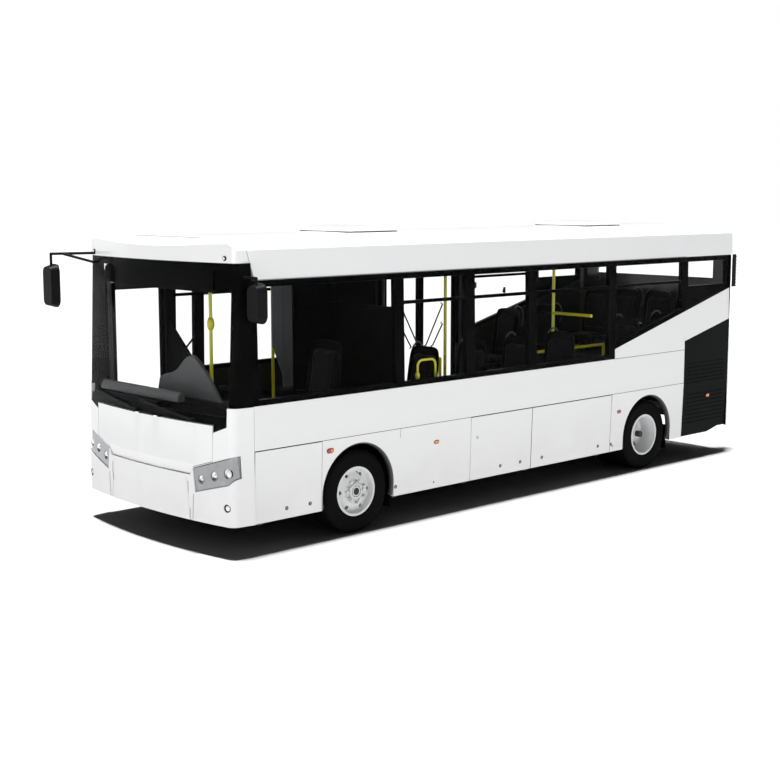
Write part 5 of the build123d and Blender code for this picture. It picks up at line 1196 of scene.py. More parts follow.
def pad_mesh(width, length, thick, near, far):
    """Swollen pad lying flat on z = 0: its top crowned, its sides pulled in, its channels sewn."""
    outline = pad_outline(width, length, near, far, 0.02)
    n = len(outline)
    levels = ((0.0, 0.965), (0.25, 1.0), (0.7, 0.99), (1.0, 0.94))
    points = [(u * share, v * share, thick * level) for level, share in levels for u, v in outline]
    loops = [tuple(range(n - 1, -1, -1)), tuple(range(3 * n, 4 * n))]
    for k in range(3):
        loops += [(k * n + i, k * n + (i + 1) % n, k * n + n + (i + 1) % n, k * n + n + i)
                  for i in range(n)]
    pad = bpy.data.objects.new("pad", Form().faces(points, loops).plain("pad"))
    bpy.context.scene.collection.objects.link(pad)
    grid = pad.modifiers.new("grid", "REMESH")
    grid.mode, grid.voxel_size = "VOXEL", PAD_VOXEL * 1.0
    baked(pad)
    rest = [v.co.copy() for v in pad.data.vertices]
    cloth = pad.modifiers.new("swell", "CLOTH")
    cloth.settings.use_pressure = True
    cloth.settings.uniform_pressure_force = PAD_PRESSURE
    cloth.settings.effector_weights.gravity = 0.0
    scene = bpy.context.scene
    for step in range(1, PAD_STEPS + 1):
        scene.frame_set(step)
    baked(pad)
    scene.frame_set(1)
    seam = sizes().seam
    for v, r in zip(pad.data.vertices, rest):
        moved = v.co - r
        if moved.length > PAD_SWELL:
            moved *= PAD_SWELL / moved.length
        place = r + moved
        for u in PAD_CHANNELS:
            if place.z > thick * 0.5:
                drop = CHANNEL_DEPTH * 2.718 ** (-((place.x - u) / seam) ** 2)
                ends = max(0.0, 1 - (2 * place.y / (length * 0.93)) ** 8)
                place.z -= drop * ends
        hem = HEM_DEPTH * 2.718 ** (-((place.z - thick * 0.45) / HEM_WIDTH) ** 2)
        place.x *= 1 - hem / (width / 2)
        place.y *= 1 - hem / (length / 2)
        place.z = max(place.z, 0.0)
        v.co = place
    for face in pad.data.polygons:
        face.use_smooth = True
    mesh = pad.data
    bpy.data.objects.remove(pad)
    mesh.materials.clear()
    mesh.materials.append(FINISHES["seat_cloth"])
    return mesh


def laid(mesh, name, foot, right, ahead, scale=1.0):
    """Copy of a flat pad at its seat, its width along right and its length along ahead."""
    made = bpy.data.objects.new(name, mesh.copy())
    right, ahead = Vector(right).normalized(), Vector(ahead).normalized()
    up = right.cross(ahead)
    turn = Matrix((right * scale, ahead, up)).transposed().to_4x4()
    made.data.transform(Matrix.Translation(foot) @ turn)
    bpy.context.scene.collection.objects.link(made)
    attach(made, "root")
    return made


def seat_places():
    """(x, y, top, lift) of every passenger seat."""
    places = [(station(s), side * SEAT_MIDDLE_Y, top, lift)
              for s, top, lift, sides in SEAT_ROWS for side in sides]
    return places + [(station(BENCH_STATION), y, BENCH_TOP, BENCH_LIFT) for y in BENCH_PLACES]


class BUS_OT_seats(bpy.types.Operator):
    """Passenger and driver's seats: moulded shells, frames, padded cushions and backs"""

    bl_idname = "bus.seats"
    bl_label = "Seats"

    def execute(self, context):
        cushion = pad_mesh(0.385, 0.385, 0.030, 0.05, 0.06)
        back = pad_mesh(0.380, 0.500, 0.030, 0.03, 0.085)
        places = seat_places()
        shells = [seat_shell_form().plain("shell", "seat_shell", Matrix.Translation((x, y, top)))
                  for x, y, top, _ in places]
        made = put("seat_shells", shells, "root")
        smooth = made.modifiers.new("smooth", "SUBSURF")
        smooth.levels = smooth.render_levels = 1
        baked(made)
        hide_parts("passenger_seats")
        frames, grips = Form(), Form()
        tube = sizes().grab_tube / 2
        for x, y, top, lift in places:
            floor = top - lift
            frames.block((x + 0.11, y - 0.075, floor + 0.0005),
                         (x + 0.27, y + 0.075, floor + 0.010))
            for w in (-0.042, 0.042):
                frames.tube([(x + 0.19, y + w * 1.3, floor + 0.006), (x + 0.19, y + w, top - 0.075),
                             (x + 0.19, y + w, top - 0.045)], 0.017, 10)
                frames.bar((x + 0.02, y + w * 3.2, top - 0.058),
                           (x + 0.36, y + w * 3.2, top - 0.064), 0.022, 0.014)
            frames.bar((x + 0.19, y - 0.16, top - 0.062), (x + 0.19, y + 0.16, top - 0.062), 0.04,
                       0.012)
            inner = -1 if y > 0 else 1
            base = Vector((x, y + inner * GRIP_Y, top))
            path = [base + BACK_LEAN * up + Vector((behind, inner * aside, 0))
                    for up, behind, aside in GRIP_LINE]
            grips.tube(path, tube * 0.8, 10)
        frames.piece("seat_frames", "root", "steel_dark", "chassis_black")
        grips.piece("seat_grips", "root", "cover_grey", "plastic_grey")
        for number, (x, y, top, _) in enumerate(places, 1):
            lay_pads(cushion, back, f"seat_{number:02d}", x, y, top)
        place, y, top, wide = DRIVER_SEAT
        x = station(place)
        shell = seat_shell_form().plain("shell", "seat_shell", Matrix.Translation((x, y, top))
                                        @ Matrix.Diagonal((1, wide, 1, 1)))
        stand = Form()
        floor = low("driver_seat").z
        stand.block((x + 0.07, y - 0.12, floor + 0.001), (x + 0.31, y + 0.12, floor + 0.030))
        for k in range(6):
            z = floor + 0.034 + 0.032 * k
            stand.plate(rounded(0.20 - 0.02 * (k % 2), 0.22 - 0.02 * (k % 2), 0.03),
                        (x + 0.19, y, z), AHEAD, LEFT, 0.030)
        stand.block((x + 0.03, y - 0.16, top - 0.075), (x + 0.35, y + 0.16, top - 0.052))
        made = put("driver_seat_shell", [shell, stand.plain("stand", "moulded_black")], "root")
        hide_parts("driver_seat")
        lay_pads(cushion, back, "driver_seat", x, y, top, wide)
        return {"FINISHED"}


def lay_pads(cushion, back, name, x, y, top, wide=1.0):
    """Cushion and back of one seat on its shell."""
    slope = Vector((0.400, 0.0, -0.012)).normalized()
    laid(cushion, name + "_cushion", (x + 0.195, y, top - 0.034), (0, -1, 0), slope, wide)
    foot = Vector((x - 0.048, y, top + 0.02)) + BACK_LEAN * 0.272
    laid(back, name + "_back", foot, (0, 1, 0), BACK_LEAN, wide)


# ---------------------------------------------------------------- driver's place
SCREEN_TOP = ((0.855, 2.400), (0.800, 2.430), (0.205, 2.470))
SCREEN_SIDE = (0.176, 0.196)    # faces of the screen along the aisle
# (rear station, front station, lower edge, its rise) of the panes beside the driver
SIDE_POSTS = ((4.452, 4.569, 1.30, 0.0), (4.571, 4.700, 1.42, 0.30))
HOOD_X = 5.575
HOOD_LINE = ((-0.420, 1.292), (-0.380, 1.440), (-0.300, 1.478), (-0.180, 1.500), (-0.080, 1.545),
             (0.010, 1.628), (0.080, 1.672), (0.140, 1.688), (0.190, 1.682), (0.250, 1.645),
             (0.340, 1.570), (0.420, 1.488), (0.500, 1.395), (0.580, 1.292))
# (station, height) round the pad along the dashboard's front edge
DASH_PAD = ((5.800, 1.2915), (5.800, 1.345), (5.812, 1.372), (5.835, 1.385), (5.860, 1.372),
            (5.880, 1.335), (5.885, 1.2915))
DIAL_X, SCREEN_X = 5.5735, 5.4585
SWITCHES = 5
HEADER_X, HEADER_END_X = 5.812, 5.728
HEADER_LINE = ((-0.80, 2.318), (-0.40, 2.330), (0.0, 2.336), (0.40, 2.336), (0.80, 2.330),
               (0.80, 2.560), (-0.80, 2.560))
STEERING_CENTRE = Vector((station(5.335), 0.560, 1.330))
STEERING_LEAN = radians(25)
HUB_PROFILE = ((0.0, 0.018), (0.050, 0.018), (0.064, 0.026), (0.058, 0.034), (0.030, 0.040),
               (0.0, 0.041))


class BUS_OT_cab(bpy.types.Operator):
    """Screens round the driver, instruments, windscreen header and steering wheel's cover"""

    bl_idname = "bus.cab"
    bl_label = "Driver's place"

    def execute(self, context):
        face, _ = hit("driver_partition", (station(4.5), 0.6, 1.6), (-1, 0, 0))
        screens = Form()
        top = high("driver_partition").z + 0.0015
        inner, outer = SCREEN_SIDE
        screens.plate([(0.205, top), (0.855, top), *SCREEN_TOP], (face.x - 0.030, 0, 0), LEFT, UP,
                      0.022)
        screens.block((face.x - 0.034, inner, FLOOR_Z + 0.002), (station(4.440), outer, 2.420))
        for z in (0.80, 1.25, 2.36):
            screens.bar((face.x + 0.02, 0.199, z), (station(4.425), 0.199, z), 0.006, 0.030, LEFT)
        screens.piece("cab_screens", "root", "display_dark", "plastic_black", bevel=0.003)
        posts = Form()
        for a, b, low_z, rise in SIDE_POSTS:
            posts.plate([(station(a), low_z), (station(b), low_z + rise), (station(b), 2.400),
                         (station(a), 2.410)], (0, outer, 0), AHEAD, UP, 0.016)
        posts.piece("cab_side_posts", "root", "cover_grey", "plastic_grey", bevel=0.003)
        hood = Form()
        hood.plate(HOOD_LINE, (station(HOOD_X), 0, 0), LEFT, UP, 0.045)
        hood.block((station(5.46), -0.30, 1.2905), (station(5.60), 0.02, 1.40))
        hood.plate([(station(x), z) for x, z in DASH_PAD], (0, 0.300, 0), AHEAD, UP, 1.300)
        hood.piece("instrument_hood", "root", "cover_grey", "plastic_grey", bevel=0.012, segments=3)
        panel = Form()
        for outline, place, y, z, thick in (
                (rounded(0.20, 0.12, 0.012), DIAL_X, 0.080, 1.52, 0.006),
                (rounded(0.16, 0.07, 0.008), SCREEN_X, -0.14, 1.345, 0.006),
                *((rounded(0.022, 0.030, 0.003), DIAL_X, -0.06 - 0.034 * k, 1.45, 0.009)
                  for k in range(SWITCHES))):
            panel.plate(outline, (station(place), y, z), (0, -1, 0), UP, thick)
        panel.piece("instrument_panel", "root", "display_dark", "plastic_black", bevel=0.001)
        header = Form()
        header.plate(HEADER_LINE, (station(HEADER_X), 0, 0), LEFT, UP, 0.020)
        for side in (1, -1):
            a = Vector((station(HEADER_X), side * 0.802, 0))
            b = Vector((station(HEADER_END_X), side * 1.115, 0))
            reach = (b - a).length
            header.plate([(0.0, 2.325), (reach, 2.318), (reach, 2.470), (0.0, 2.555)], a,
                         (b - a).normalized(), UP, -0.018 * side)
        header.piece("windscreen_header", "root", "body_black", "plastic_black", bevel=0.003)
        wheel = Form()
        across, ahead = Vector(LEFT), Vector((cos(STEERING_LEAN), 0, sin(STEERING_LEAN)))
        up = across.cross(ahead) * -1
        wheel.turned(HUB_PROFILE, STEERING_CENTRE, up, 32, 0)
        for turn in (35, 145):
            way = across * cos(radians(turn)) - ahead * sin(radians(turn))
            root = STEERING_CENTRE + up * 0.024
            wheel.bar(root + way * 0.045, root + way * 0.105, 0.020, 0.010, up)
        wheel.piece("steering_wheel_hub_cover", "steering_wheel", "moulded_black", "plastic_black",
                    bevel=0.002)
        return {"FINISHED"}


# ---------------------------------------------------------------- cabin rails
KNOB = (5.284, 0.0, 1.951)
KNOB_PROFILE = ((0.0175, -0.060), (0.026, -0.050), (0.034, -0.024), (0.036, 0.0), (0.034, 0.024),
                (0.026, 0.050), (0.0175, 0.060))
# (station, y) of the stanchions' feet and of the hanging straps
STANCHIONS = ((5.284, 0.0), (2.700, 0.560), (2.700, -0.560), (4.100, -0.560), (0.980, -0.575))
STRAPS = ((3.05, 0.56), (2.35, 0.56), (1.55, 0.56), (3.05, -0.56), (2.35, -0.56))
SILL_RAIL = (3.375, 3.620, 1.34, 1.56)      # rear and front station, foot and top
SILL_RAIL_Y, SILL_RAIL_BEND = 1.090, 0.06
DOOR_ROD = ((4.976, 1.409), (4.670, 1.716))
DOOR_ROD_Y = -1.120


class BUS_OT_rail_fittings(bpy.types.Operator):
    """Knob, sill rail, sockets and hanging straps of the yellow rails, and a rod by the door"""

    bl_idname = "bus.rail_fittings"
    bl_label = "Rail fittings"

    def execute(self, context):
        yellow, black = Form(), Form()
        x, y, z = KNOB
        yellow.turned(KNOB_PROFILE, (station(x), y, z), UP, 28, 0)
        for x, y in STANCHIONS:
            black.turned([(0.0176, 0.001), (0.050, 0.001), (0.050, 0.006), (0.024, 0.016),
                          (0.0176, 0.030)],
                         (station(x), y, FLOOR_Z), UP, 28, 0)
        x0, x1, z0, z1 = SILL_RAIL
        y, bend = SILL_RAIL_Y, SILL_RAIL_BEND
        path = [(station(x0), y, z0), (station(x0), y, z1 - bend)]
        path += [(station(x0 + bend) - bend * cos(radians(a)), y,
                  z1 - bend + bend * sin(radians(a)))
                 for a in (25, 50, 75, 90)]
        path += [(station(x1 - bend) + bend * sin(radians(a)), y,
                  z1 - bend + bend * cos(radians(a)))
                 for a in (0, 20, 45, 70, 90)]
        path += [(station(x1), y, z0)]
        yellow.tube(path, 0.012, 12)
        yellow.turned([(0.0, -0.03), (0.020, -0.026), (0.024, 0.0), (0.020, 0.026), (0.0, 0.03)],
                      (station(x1), y, z0 + 0.07), UP, 20, 0)
        yellow.piece("rail_knobs", "root", "rail_yellow", "rail_yellow")
        for place, y in STRAPS:
            x = station(place)
            top = hit("roof", (x, y, 1.5), UP)[0].z
            black.block((x - 0.020, y - 0.010, top - 0.022), (x + 0.020, y + 0.010, top - 0.001))
            loop = [(x + 0.048 * cos(radians(a)), y, top - 0.235 + 0.060 * sin(radians(a)))
                    for a in range(100, 441, 20)]
            black.tube(loop, 0.0075, 8)
            black.bar((x, y, top - 0.018), (x, y, top - 0.175), 0.022, 0.004, LEFT)
        black.piece("rail_sockets", "root", "moulded_black", "plastic_black")
        rods = Form().tube([(station(x), DOOR_ROD_Y, z) for x, z in DOOR_ROD], 0.011, 10)
        rods.piece("door_rods", "root", "moulded_black", "plastic_black")
        return {"FINISHED"}


# ---------------------------------------------------------------- mirrors
MIRROR_SPOT = (5.2, 1.350)      # station and distance out where the glasses are looked for
# (side, middle's height, height) of each head, and (share, rise) of each glass in it
MIRROR_HEADS = ((1, 2.245, 0.350), (-1, 2.285, 0.420))
MIRROR_PANES = ((0.60, 0.19), (0.28, -0.31))


class BUS_OT_mirror_glasses(bpy.types.Operator):
    """Glasses and bezels on the backs of the mirror heads"""

    bl_idname = "bus.mirror_glasses"
    bl_label = "Mirror glasses"

    def execute(self, context):
        heads = Form()
        place, out = MIRROR_SPOT
        for side, z, tall in MIRROR_HEADS:
            for share, rise in MIRROR_PANES:
                point, normal = hit("mirrors", (station(place), side * out, z + tall * rise), AHEAD)
                right = Vector(UP).cross(normal)
                heads.plate(rounded(0.172, tall * share, 0.026), point, right, UP, 0.0022, 1,
                            -0.0008)
                heads.plate(rounded(0.160, tall * share - 0.012, 0.022), point, right, UP, 0.0010,
                            0, 0.0016)
        heads.piece("mirror_glasses", "root", ["mirror_glass", "moulded_black"], "glass_clear")
        return {"FINISHED"}


# ---------------------------------------------------------------- windows and doors
# stations and heights of the catches on the opening upper panes
CATCHES = ((2.882, 2.262), (3.054, 2.193), (1.939, 2.262), (2.45, 2.193), (1.40, 2.193),
           (0.90, 2.262))


class BUS_OT_windows(bpy.types.Operator):
    """Catches of the upper panes, and the drip rails along the roof"""

    bl_idname = "bus.windows"
    bl_label = "Window fittings"

    def execute(self, context):
        catches, drips = Form(), Form()
        for place, z in CATCHES:
            for side in (1, -1):
                x = station(place)
                y = side * (side_y(z) - 0.024)
                catches.plate(rounded(0.034, 0.060, 0.008), (x, y, z), (-side, 0, 0), UP, -0.006)
                catches.bar((x, y - side * 0.008, z + 0.02), (x, y - side * 0.022, z - 0.024),
                            0.016, 0.008, AHEAD)
        catches.piece("window_catches", "root", "moulded_black", "plastic_black", bevel=0.002)
        for side in (1, -1):
            y, z = side * (side_y(CANT_Z) - 0.0015), CANT_Z + 0.004
            drips.bar((LAST_BAY_X, y, z), (BUMPER_X, y, z), 0.005, 0.004)
        drips.piece("drip_rails", "root", "rubber_seal", "plastic_black")
        return {"FINISHED"}


# (node stem, hinge side edge, free edge) of the door leaves, as stations
LEAVES = (("door_front", 5.648, 5.032), ("door_mid_a", 1.988, 1.396), ("door_mid_b", 0.792, 1.384))
LEAF_FOOT, LEAF_HEAD = 0.415, high("door_front_glass").z + 0.070
LEAF_Y = (-1.172, -1.156, -1.140)           # outer face, middle and inner face
GLASS_MARGIN = (0.046, 0.071)               # from the leaf's edges along X and Z
# (from the free edge, height) of both ends of each sloping grab rail
DOOR_RAILS = (((0.060, 1.360), (0.340, 1.840)), ((0.174, 1.350), (0.340, 1.600)))
RAIL_STAND, RAIL_R = 0.028, 0.009


class BUS_OT_doors(bpy.types.Operator):
    """Edge rubbers and glass beads of the door leaves, and grab rails on the middle ones"""

    bl_idname = "bus.doors"
    bl_label = "Door fittings"

    def execute(self, context):
        y_out, y_mid, y_in = LEAF_Y
        margin_x, margin_z = GLASS_MARGIN
        for stem, hinge, free in LEAVES:
            way = 1 if free > hinge else -1
            x0, x1 = station(hinge), station(free)
            glass = sorted((x0 + way * margin_x, x1 - way * margin_x))
            rubber = Form()
            edge = x1 - way * 0.0005
            rubber.tube([(edge, y_mid, LEAF_FOOT + 0.01), (edge, y_mid, LEAF_HEAD - 0.01)], 0.0045,
                        12)
            y = y_out + 0.0030
            for z in (LEAF_FOOT + margin_z, LEAF_HEAD - margin_z):
                rubber.bar((glass[0], y, z), (glass[1], y, z), 0.004, 0.008)
            for x in glass:
                rubber.bar((x, y, LEAF_FOOT + 0.07), (x, y, LEAF_HEAD - 0.07), 0.004, 0.008, AHEAD)
            rubber.piece(stem + "_rubbers", stem + "_leaf", "rubber_seal", "plastic_black")
            if stem == "door_front":
                continue
            rail = Form()
            for (near, low_z), (far, high_z) in DOOR_RAILS:
                a, b = x1 - way * near, x1 - way * far
                rail.tube([(a, y_in - 0.001, low_z - 0.012), (a, y_in + RAIL_STAND, low_z),
                           (b, y_in + RAIL_STAND, high_z), (b, y_in - 0.001, high_z + 0.012)],
                           RAIL_R, 12)
            rail.piece(stem + "_rail", stem + "_leaf", "moulded_black", "plastic_black")
        return {"FINISHED"}


# ---------------------------------------------------------------- front panels
TOW_COVER = (0.345, 0.375)      # y and z
# (node, finish, (y, z) corners) of the beads round a headlamp and down the folds beside it
LAMP_EDGES = (("headlamps", 0, ((0.690, 0.764), (1.168, 0.912))),
              ("headlamps", 1, ((1.168, 0.912), (1.172, 0.726), (1.126, 0.668), (0.720, 0.558))),
              ("front_bumper", 1, ((0.690, 0.530), (0.676, 0.300))),
              ("front_bumper", 1, ((0.618, 0.640), (0.630, 0.300))))
EDGE_STEPS = 11
EDGE_RADII = (0.0030, 0.0022)   # by finish


class BUS_OT_front_fittings(bpy.types.Operator):
    """Tow cover, and beads round the headlamps and down the front's folds"""

    bl_idname = "bus.front_fittings"
    bl_label = "Front fittings"

    def execute(self, context):
        spot, normal = on_front("front_bumper", *TOW_COVER)
        up = (Vector(UP) - normal * normal.z).normalized()
        cover = Form()
        cover.turned([(0.0, -0.002), (0.036, -0.002), (0.036, 0.0006), (0.033, 0.0014),
                      (0.0, 0.0014)],
                     spot, normal, 32, 0)
        cover.bar(spot - up * 0.012 + normal * 0.0015, spot + up * 0.012 + normal * 0.0015, 0.005,
                  0.002, normal)
        cover.piece("tow_covers", "root", "body_white", "paint_white")
        edges = Form()
        for side in (1, -1):
            for node, shade, run in LAMP_EDGES:
                path = []
                for (y0, z0), (y1, z1) in zip(run, run[1:]):
                    for k in range(EDGE_STEPS + 1):
                        y, z = y0 + (y1 - y0) * k / EDGE_STEPS, z0 + (z1 - z0) * k / EDGE_STEPS
                        spot, _ = on_front(node, side * y, z)
                        if not path or (spot - path[-1]).length > 0.001:
                            path.append(spot)
                edges.tube(path, EDGE_RADII[shade], 8, shade)
        edges.piece("lamp_edges", "root", ["moulded_black", "cover_grey"], "plastic_black")
        return {"FINISHED"}


# ---------------------------------------------------------------- back
HOOD_VENTS = ((-0.66, -0.06), (0.06, 0.66))
SLAT_FOOT, SLAT_STEP, SLAT_COUNT = 0.66, 0.026, 11
SLAT_SECTION = ((0.0006, 0.0), (-0.011, -0.010), (-0.011, -0.013), (0.0006, -0.007))
HOOD_CATCHES = ((-0.70, 0.60), (0.70, 0.60))
PLATE_Z = 1.20
TAIL_LAMP_Y = 0.975
TAIL_LAMPS = ((0.775, WHITE), (0.900, RED), (1.010, RED), (1.115, AMBER))


class BUS_OT_back(bpy.types.Operator):
    """Slats, catches and blank plate of the engine hood, and the tail lamps' lenses"""

    bl_idname = "bus.back"
    bl_label = "Back"

    def execute(self, context):
        hood, slats = "engine_hood", []
        for y0, y1 in HOOD_VENTS:
            spot, _ = on_back(hood, (y0 + y1) / 2, 0.72)
            slat = Form().faces([(x, y, z) for y in (y0, y1) for x, z in SLAT_SECTION],
                                prism_loops(len(SLAT_SECTION)), 0, False)
            slats.append(repeated("row", slat, "body_black",
                                  Matrix.Translation((spot.x, 0, SLAT_FOOT)), Count=SLAT_COUNT,
                                  Step=(0.0, 0.0, SLAT_STEP)))
        put("hood_slats", slats, hood)
        catches = Form()
        for y, z in HOOD_CATCHES:
            spot, normal = on_back(hood, y, z)
            catches.turned([(0.0, -0.001), (0.018, -0.001), (0.018, 0.002), (0.014, 0.004),
                            (0.0, 0.004)],
                           spot, normal, 28, 0)
            catches.bar(spot + Vector((0, 0, -0.010)) + normal * 0.004,
                        spot + Vector((0, 0, 0.010)) + normal * 0.004, 0.005, 0.003, normal)
        spot, _ = on_back(hood, 0.0, PLATE_Z)
        catches.plate(rounded(0.530, 0.125, 0.008), spot, (0, -1, 0), UP, 0.006, 0, -0.001)
        catches.plate(rounded(0.516, 0.110, 0.004), spot, (0, -1, 0), UP, 0.002, 1, 0.0045)
        catches.piece("hood_fittings", hood, ["moulded_black", "pale_grey"], "plastic_black",
                      bevel=0.001)
        lamps = Form()
        for side in (1, -1):
            for z, lens in TAIL_LAMPS:
                spot, normal = on_back("tail_lamps", side * TAIL_LAMP_Y, z)
                lamps.turned([(0.0, -0.001), (0.046, -0.001), (0.046, 0.006), (0.042, 0.009),
                              (0.0, 0.009)],
                             spot, normal, 36, HOUSING)
                lamps.turned([(0.0, 0.0085), (0.040, 0.0085), (0.036, 0.0125), (0.020, 0.0150),
                              (0.0, 0.0158)],
                             spot, normal, 36, lens)
        lamps.piece("tail_lamp_lenses", "root", LAMP_FINISHES, "lamp_red")
        return {"FINISHED"}


# ---------------------------------------------------------------- roof
HATCHES = ("hatch_front", "hatch_rear")
SEAL_INSET = 0.030              # from the hatch's edges
HANDLE_HALF, HANDLE_DROP, HANDLE_R = 0.115, 0.026, 0.009
HANDLE_FEET = (-0.10, 0.10)


class BUS_OT_roof_fittings(bpy.types.Operator):
    """Seals and handles of the roof hatches"""

    bl_idname = "bus.roof_fittings"
    bl_label = "Roof fittings"

    def execute(self, context):
        seals = Form()
        for node in HATCHES:
            a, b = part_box(node)
            mid, z = (a + b) / 2, a.z - 0.004
            w, d = (b.x - a.x) / 2 - SEAL_INSET, (b.y - a.y) / 2 - SEAL_INSET
            ring = [(mid.x + sx * w, mid.y + sy * d, z)
                    for sx, sy in ((-1, -1), (1, -1), (1, 1), (-1, 1))]
            for p, q in zip(ring, ring[1:] + ring[:1]):
                seals.bar(p, q, 0.012, 0.010)
        seals.piece("hatch_seals", "root", "rubber_seal", "plastic_black")
        for node in HATCHES:
            a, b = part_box(node)
            mid = (a + b) / 2
            handle = Form()
            under = hit(node, (mid.x, mid.y, a.z - 0.5), UP)[0].z
            for y in HANDLE_FEET:
                handle.block((mid.x - 0.012, y - 0.012, under - 0.022),
                             (mid.x + 0.012, y + 0.012, under + 0.001))
            handle.tube([(mid.x, y, under - HANDLE_DROP) for y in (-HANDLE_HALF, HANDLE_HALF)],
                        HANDLE_R, 12)
            handle.piece(node + "_handle", node, "moulded_black", "plastic_black", bevel=0.001)
        return {"FINISHED"}


# ---------------------------------------------------------------- underbody
SPRING_Y = 0.41
FRONT_SPRING = (0.318, 0.336)   # foot and top of the buffer on the front axle
REAR_SPRING = (0.455, 0.538)
TANK_PLACE, TANK_Z = 1.55, 0.225
TANK_YS = (-0.20, 0.06)
TANK_PROFILE = ((0.0, -0.30), (0.06, -0.295), (0.095, -0.270), (0.100, -0.24), (0.100, 0.24),
                (0.095, 0.270), (0.06, 0.295), (0.0, 0.30))
HANGER_PLACES, HANGER_OUT, HANGER_TOP = (1.40, 1.70), 0.104, 0.3395
PIPE_YS, PIPE_Z, PIPE_ENDS = (0.30, 0.315, 0.330), 0.332, (3.9, 1.2)


class BUS_OT_underbody(bpy.types.Operator):
    """Air springs and their seats, air tanks with their hangers, and pipes under the floor"""

    bl_idname = "bus.underbody"
    bl_label = "Underbody"

    def execute(self, context):
        bellows, steel = Form(), Form()
        foot, top = FRONT_SPRING
        for side in (1, -1):
            bellows.turned([(0.0, foot), (0.060, foot), (0.066, (foot + top) / 2), (0.060, top),
                            (0.0, top)],
                           (FRONT_AXLE.x + 0.12, side * SPRING_Y, 0), UP, 32, 0)
        foot, top = REAR_SPRING
        profile = [(0.0, foot), (0.095, foot)]
        for k in range(3):
            z = 0.470 + 0.022 * k
            profile += [(0.105, z), (0.112, z + 0.008), (0.105, z + 0.016), (0.098, z + 0.019)]
        profile += [(0.095, top), (0.0, top)]
        for side in (1, -1):
            y = side * SPRING_Y
            bellows.turned(profile, (station(0.27), y, 0), UP, 40, 0)
            steel.block((station(0.10), y - 0.05, 0.43), (station(0.36), y + 0.05, 0.4545))
        bellows.piece("air_springs", "root", "rubber_seal", "plastic_black")
        for y in TANK_YS:
            steel.turned(TANK_PROFILE, (station(TANK_PLACE), y, TANK_Z), AHEAD, 36, 0)
            for place in HANGER_PLACES:
                x = station(place)
                for out in (-HANGER_OUT, HANGER_OUT):
                    steel.bar((x, y + out, TANK_Z), (x, y + out, HANGER_TOP), 0.022, 0.003, LEFT)
        for y in PIPE_YS:
            steel.tube([(station(place), y, PIPE_Z) for place in PIPE_ENDS], 0.005, 8)
        steel.piece("air_tanks", "root", "frame_paint", "chassis_black")
        return {"FINISHED"}


# ---------------------------------------------------------------- stage
CAMERA_PLACE = (10.7703, 10.6258, 3.1824)
CAMERA_TURN = 3.957718          # about Z, from +X
CAMERA_DIP = 0.142385           # below the horizon
CAMERA_LENS = 63.77
FLOOR_HALF = 90.0
WORLD_LIGHT = 0.05
SUN_POWER = 7.4
SUN_WAY = (0.0, 0.02, -1.0)
SUN_SPREAD = 5.0                # degrees across
NO_SUN_SHADOW = "mirrors"
# pieces behind glass that stay in the dark of the cabin
CABIN_PIECES = ("handrails", "seat_shells", "seat_frames", "rail_knobs", "rail_sockets",
                "cab_screens", "driver_seat_shell", "driver_seat_cushion", "driver_seat_back",
                "windscreen_header", "driver_partition", "destination_sign", "floor",
                "wheel_housings", "door_rods")
# name, place, aimed at, (width, height), power in watts; none of them lights the floor
LIGHTS = (("side_softbox", (1.5, 13.0, 2.6), (0.0, 1.0, 1.5), (16.0, 4.0), 415.0),
          ("front_softbox", (15.0, 3.0, 2.6), (4.0, 0.0, 1.5), (9.0, 4.0), 470.0),
          ("rear_softbox", (-14.0, 0.0, 2.6), (-3.0, 0.0, 1.5), (9.0, 4.0), 400.0),
          ("door_softbox", (1.5, -13.0, 2.6), (0.0, -1.0, 1.5), (16.0, 4.0), 200.0))


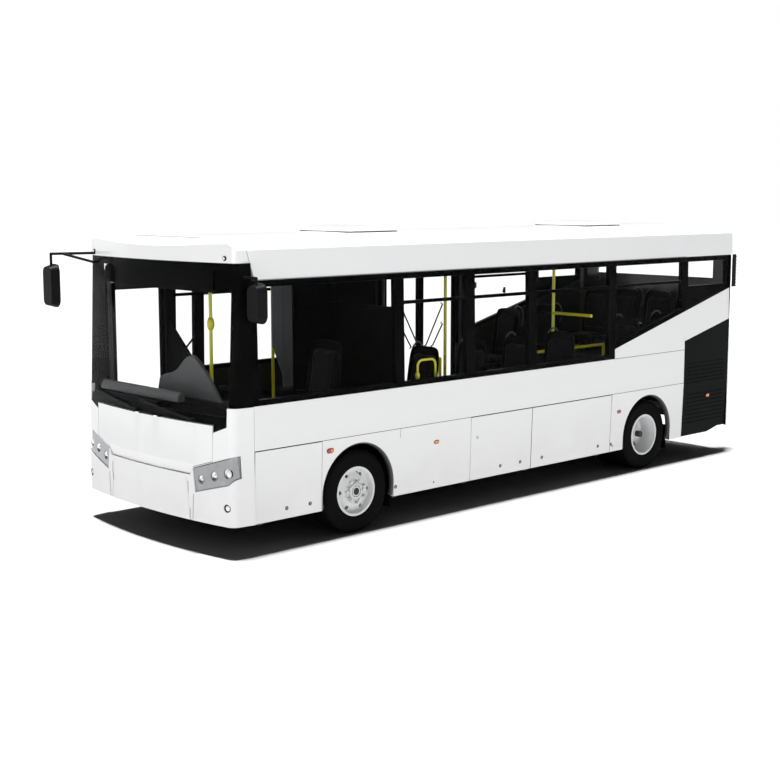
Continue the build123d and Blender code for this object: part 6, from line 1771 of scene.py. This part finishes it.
class BUS_OT_stage(bpy.types.Operator):
    """Pale floor, soft light and the camera"""

    bl_idname = "bus.stage"
    bl_label = "Stage"

    def execute(self, context):
        scene = context.scene
        lens = bpy.data.cameras.new("camera")
        lens.lens, lens.sensor_width = CAMERA_LENS, 36.0
        lens.clip_end = 500.0
        camera = bpy.data.objects.new("camera", lens)
        scene.collection.objects.link(camera)
        camera.location = CAMERA_PLACE
        camera.rotation_euler = (pi / 2 - CAMERA_DIP, 0.0, CAMERA_TURN - pi / 2)
        scene.camera = camera
        scene.view_settings.view_transform = "Standard"
        finish("stage_floor", (0.5, 0.5, 0.5), 0.9, grain=30, bump=0.02, spread=0.004, patch=0.4,
               specular=0.0)
        half = FLOOR_HALF
        ground = Form().faces([(-half, -half, 0), (half, -half, 0), (half, half, 0),
                               (-half, half, 0)],
                              [(0, 1, 2, 3)])
        sheet = bpy.data.objects.new("floor_sheet", ground.plain("floor_sheet", "stage_floor"))
        scene.collection.objects.link(sheet)
        world = bpy.data.worlds.new("studio")
        scene.world = world
        world.use_nodes = True
        tree = world.node_tree
        sky = tree.nodes["Background"]
        path = tree.nodes.new("ShaderNodeLightPath")
        seen = maths(tree, "MAXIMUM", path.outputs["Is Camera Ray"],
                     path.outputs["Is Transmission Ray"])
        strength = maths(tree, "MULTIPLY_ADD", seen, 1.0 - WORLD_LIGHT, WORLD_LIGHT)
        sky.inputs["Color"].default_value = (1.0, 1.0, 1.0, 1.0)
        tree.links.new(strength, sky.inputs["Strength"])
        unlit = bpy.data.collections.new("unlit_by_softboxes")
        unlit.objects.link(sheet)
        for name in CABIN_PIECES:
            made = bpy.data.objects.get(name) or NODES[name]
            unlit.objects.link(made)
        for item in unlit.collection_objects:
            item.light_linking.link_state = "EXCLUDE"
        for name, place, target, size, power in LIGHTS:
            light = bpy.data.lights.new(name, "AREA")
            light.shape = "RECTANGLE"
            light.size, light.size_y = size
            light.energy = power
            lamp = bpy.data.objects.new(name, light)
            scene.collection.objects.link(lamp)
            lamp.location = place
            way = Vector(target) - Vector(place)
            lamp.rotation_euler = way.to_track_quat("-Z", "Y").to_euler()
            lamp.light_linking.receiver_collection = unlit
            lamp.visible_camera = False
            lamp.visible_transmission = False
        sun = bpy.data.lights.new("sun", "SUN")
        sun.energy, sun.angle = SUN_POWER, radians(SUN_SPREAD)
        lamp = bpy.data.objects.new("sun", sun)
        scene.collection.objects.link(lamp)
        lamp.rotation_euler = Vector(SUN_WAY).to_track_quat("-Z", "Y").to_euler()
        see_through = bpy.data.collections.new("no_sun_shadow")
        see_through.objects.link(NODES[NO_SUN_SHADOW])
        see_through.collection_objects[-1].light_linking.link_state = "EXCLUDE"
        lamp.light_linking.blocker_collection = see_through
        return {"FINISHED"}


CLASSES = [
    BusColours, BusSizes, BUS_OT_finishes, BUS_OT_seats, BUS_OT_seals, BUS_OT_tyres,
    BUS_OT_wheel_fittings, BUS_OT_headlamps, BUS_OT_side_lamps, BUS_OT_latches, BUS_OT_arches,
    BUS_OT_cab, BUS_OT_rail_fittings, BUS_OT_mirror_glasses, BUS_OT_windows, BUS_OT_doors,
    BUS_OT_front_fittings, BUS_OT_back, BUS_OT_roof_fittings, BUS_OT_underbody, BUS_OT_stage,
]


class BUS_PT_sidebar(bpy.types.Panel):
    """Colours, sizes and the pieces in their order"""

    bl_label = "Midi bus"
    bl_idname = "BUS_PT_sidebar"
    bl_space_type = "VIEW_3D"
    bl_region_type = "UI"
    bl_category = "Midi bus"

    def draw(self, context):
        layout = self.layout
        for values in (context.scene.bus_colours, context.scene.bus_sizes):
            box = layout.box()
            for key in values.bl_rna.properties.keys():
                if key not in ("rna_type", "name"):
                    box.prop(values, key)
        for item in CLASSES:
            if hasattr(item, "bl_idname") and hasattr(item, "execute"):
                layout.operator(item.bl_idname)


def register():
    for item in (*CLASSES, BUS_PT_sidebar):
        bpy.utils.register_class(item)
    bpy.types.Scene.bus_colours = bpy.props.PointerProperty(type=BusColours)
    bpy.types.Scene.bus_sizes = bpy.props.PointerProperty(type=BusSizes)


def unregister():
    del bpy.types.Scene.bus_colours
    del bpy.types.Scene.bus_sizes
    for item in reversed((*CLASSES, BUS_PT_sidebar)):
        bpy.utils.unregister_class(item)


def main():
    register()
    for item in CLASSES:
        if hasattr(item, "execute"):
            group, name = item.bl_idname.split(".")
            getattr(getattr(bpy.ops, group), name)()


if __name__ == "__main__":
    main()
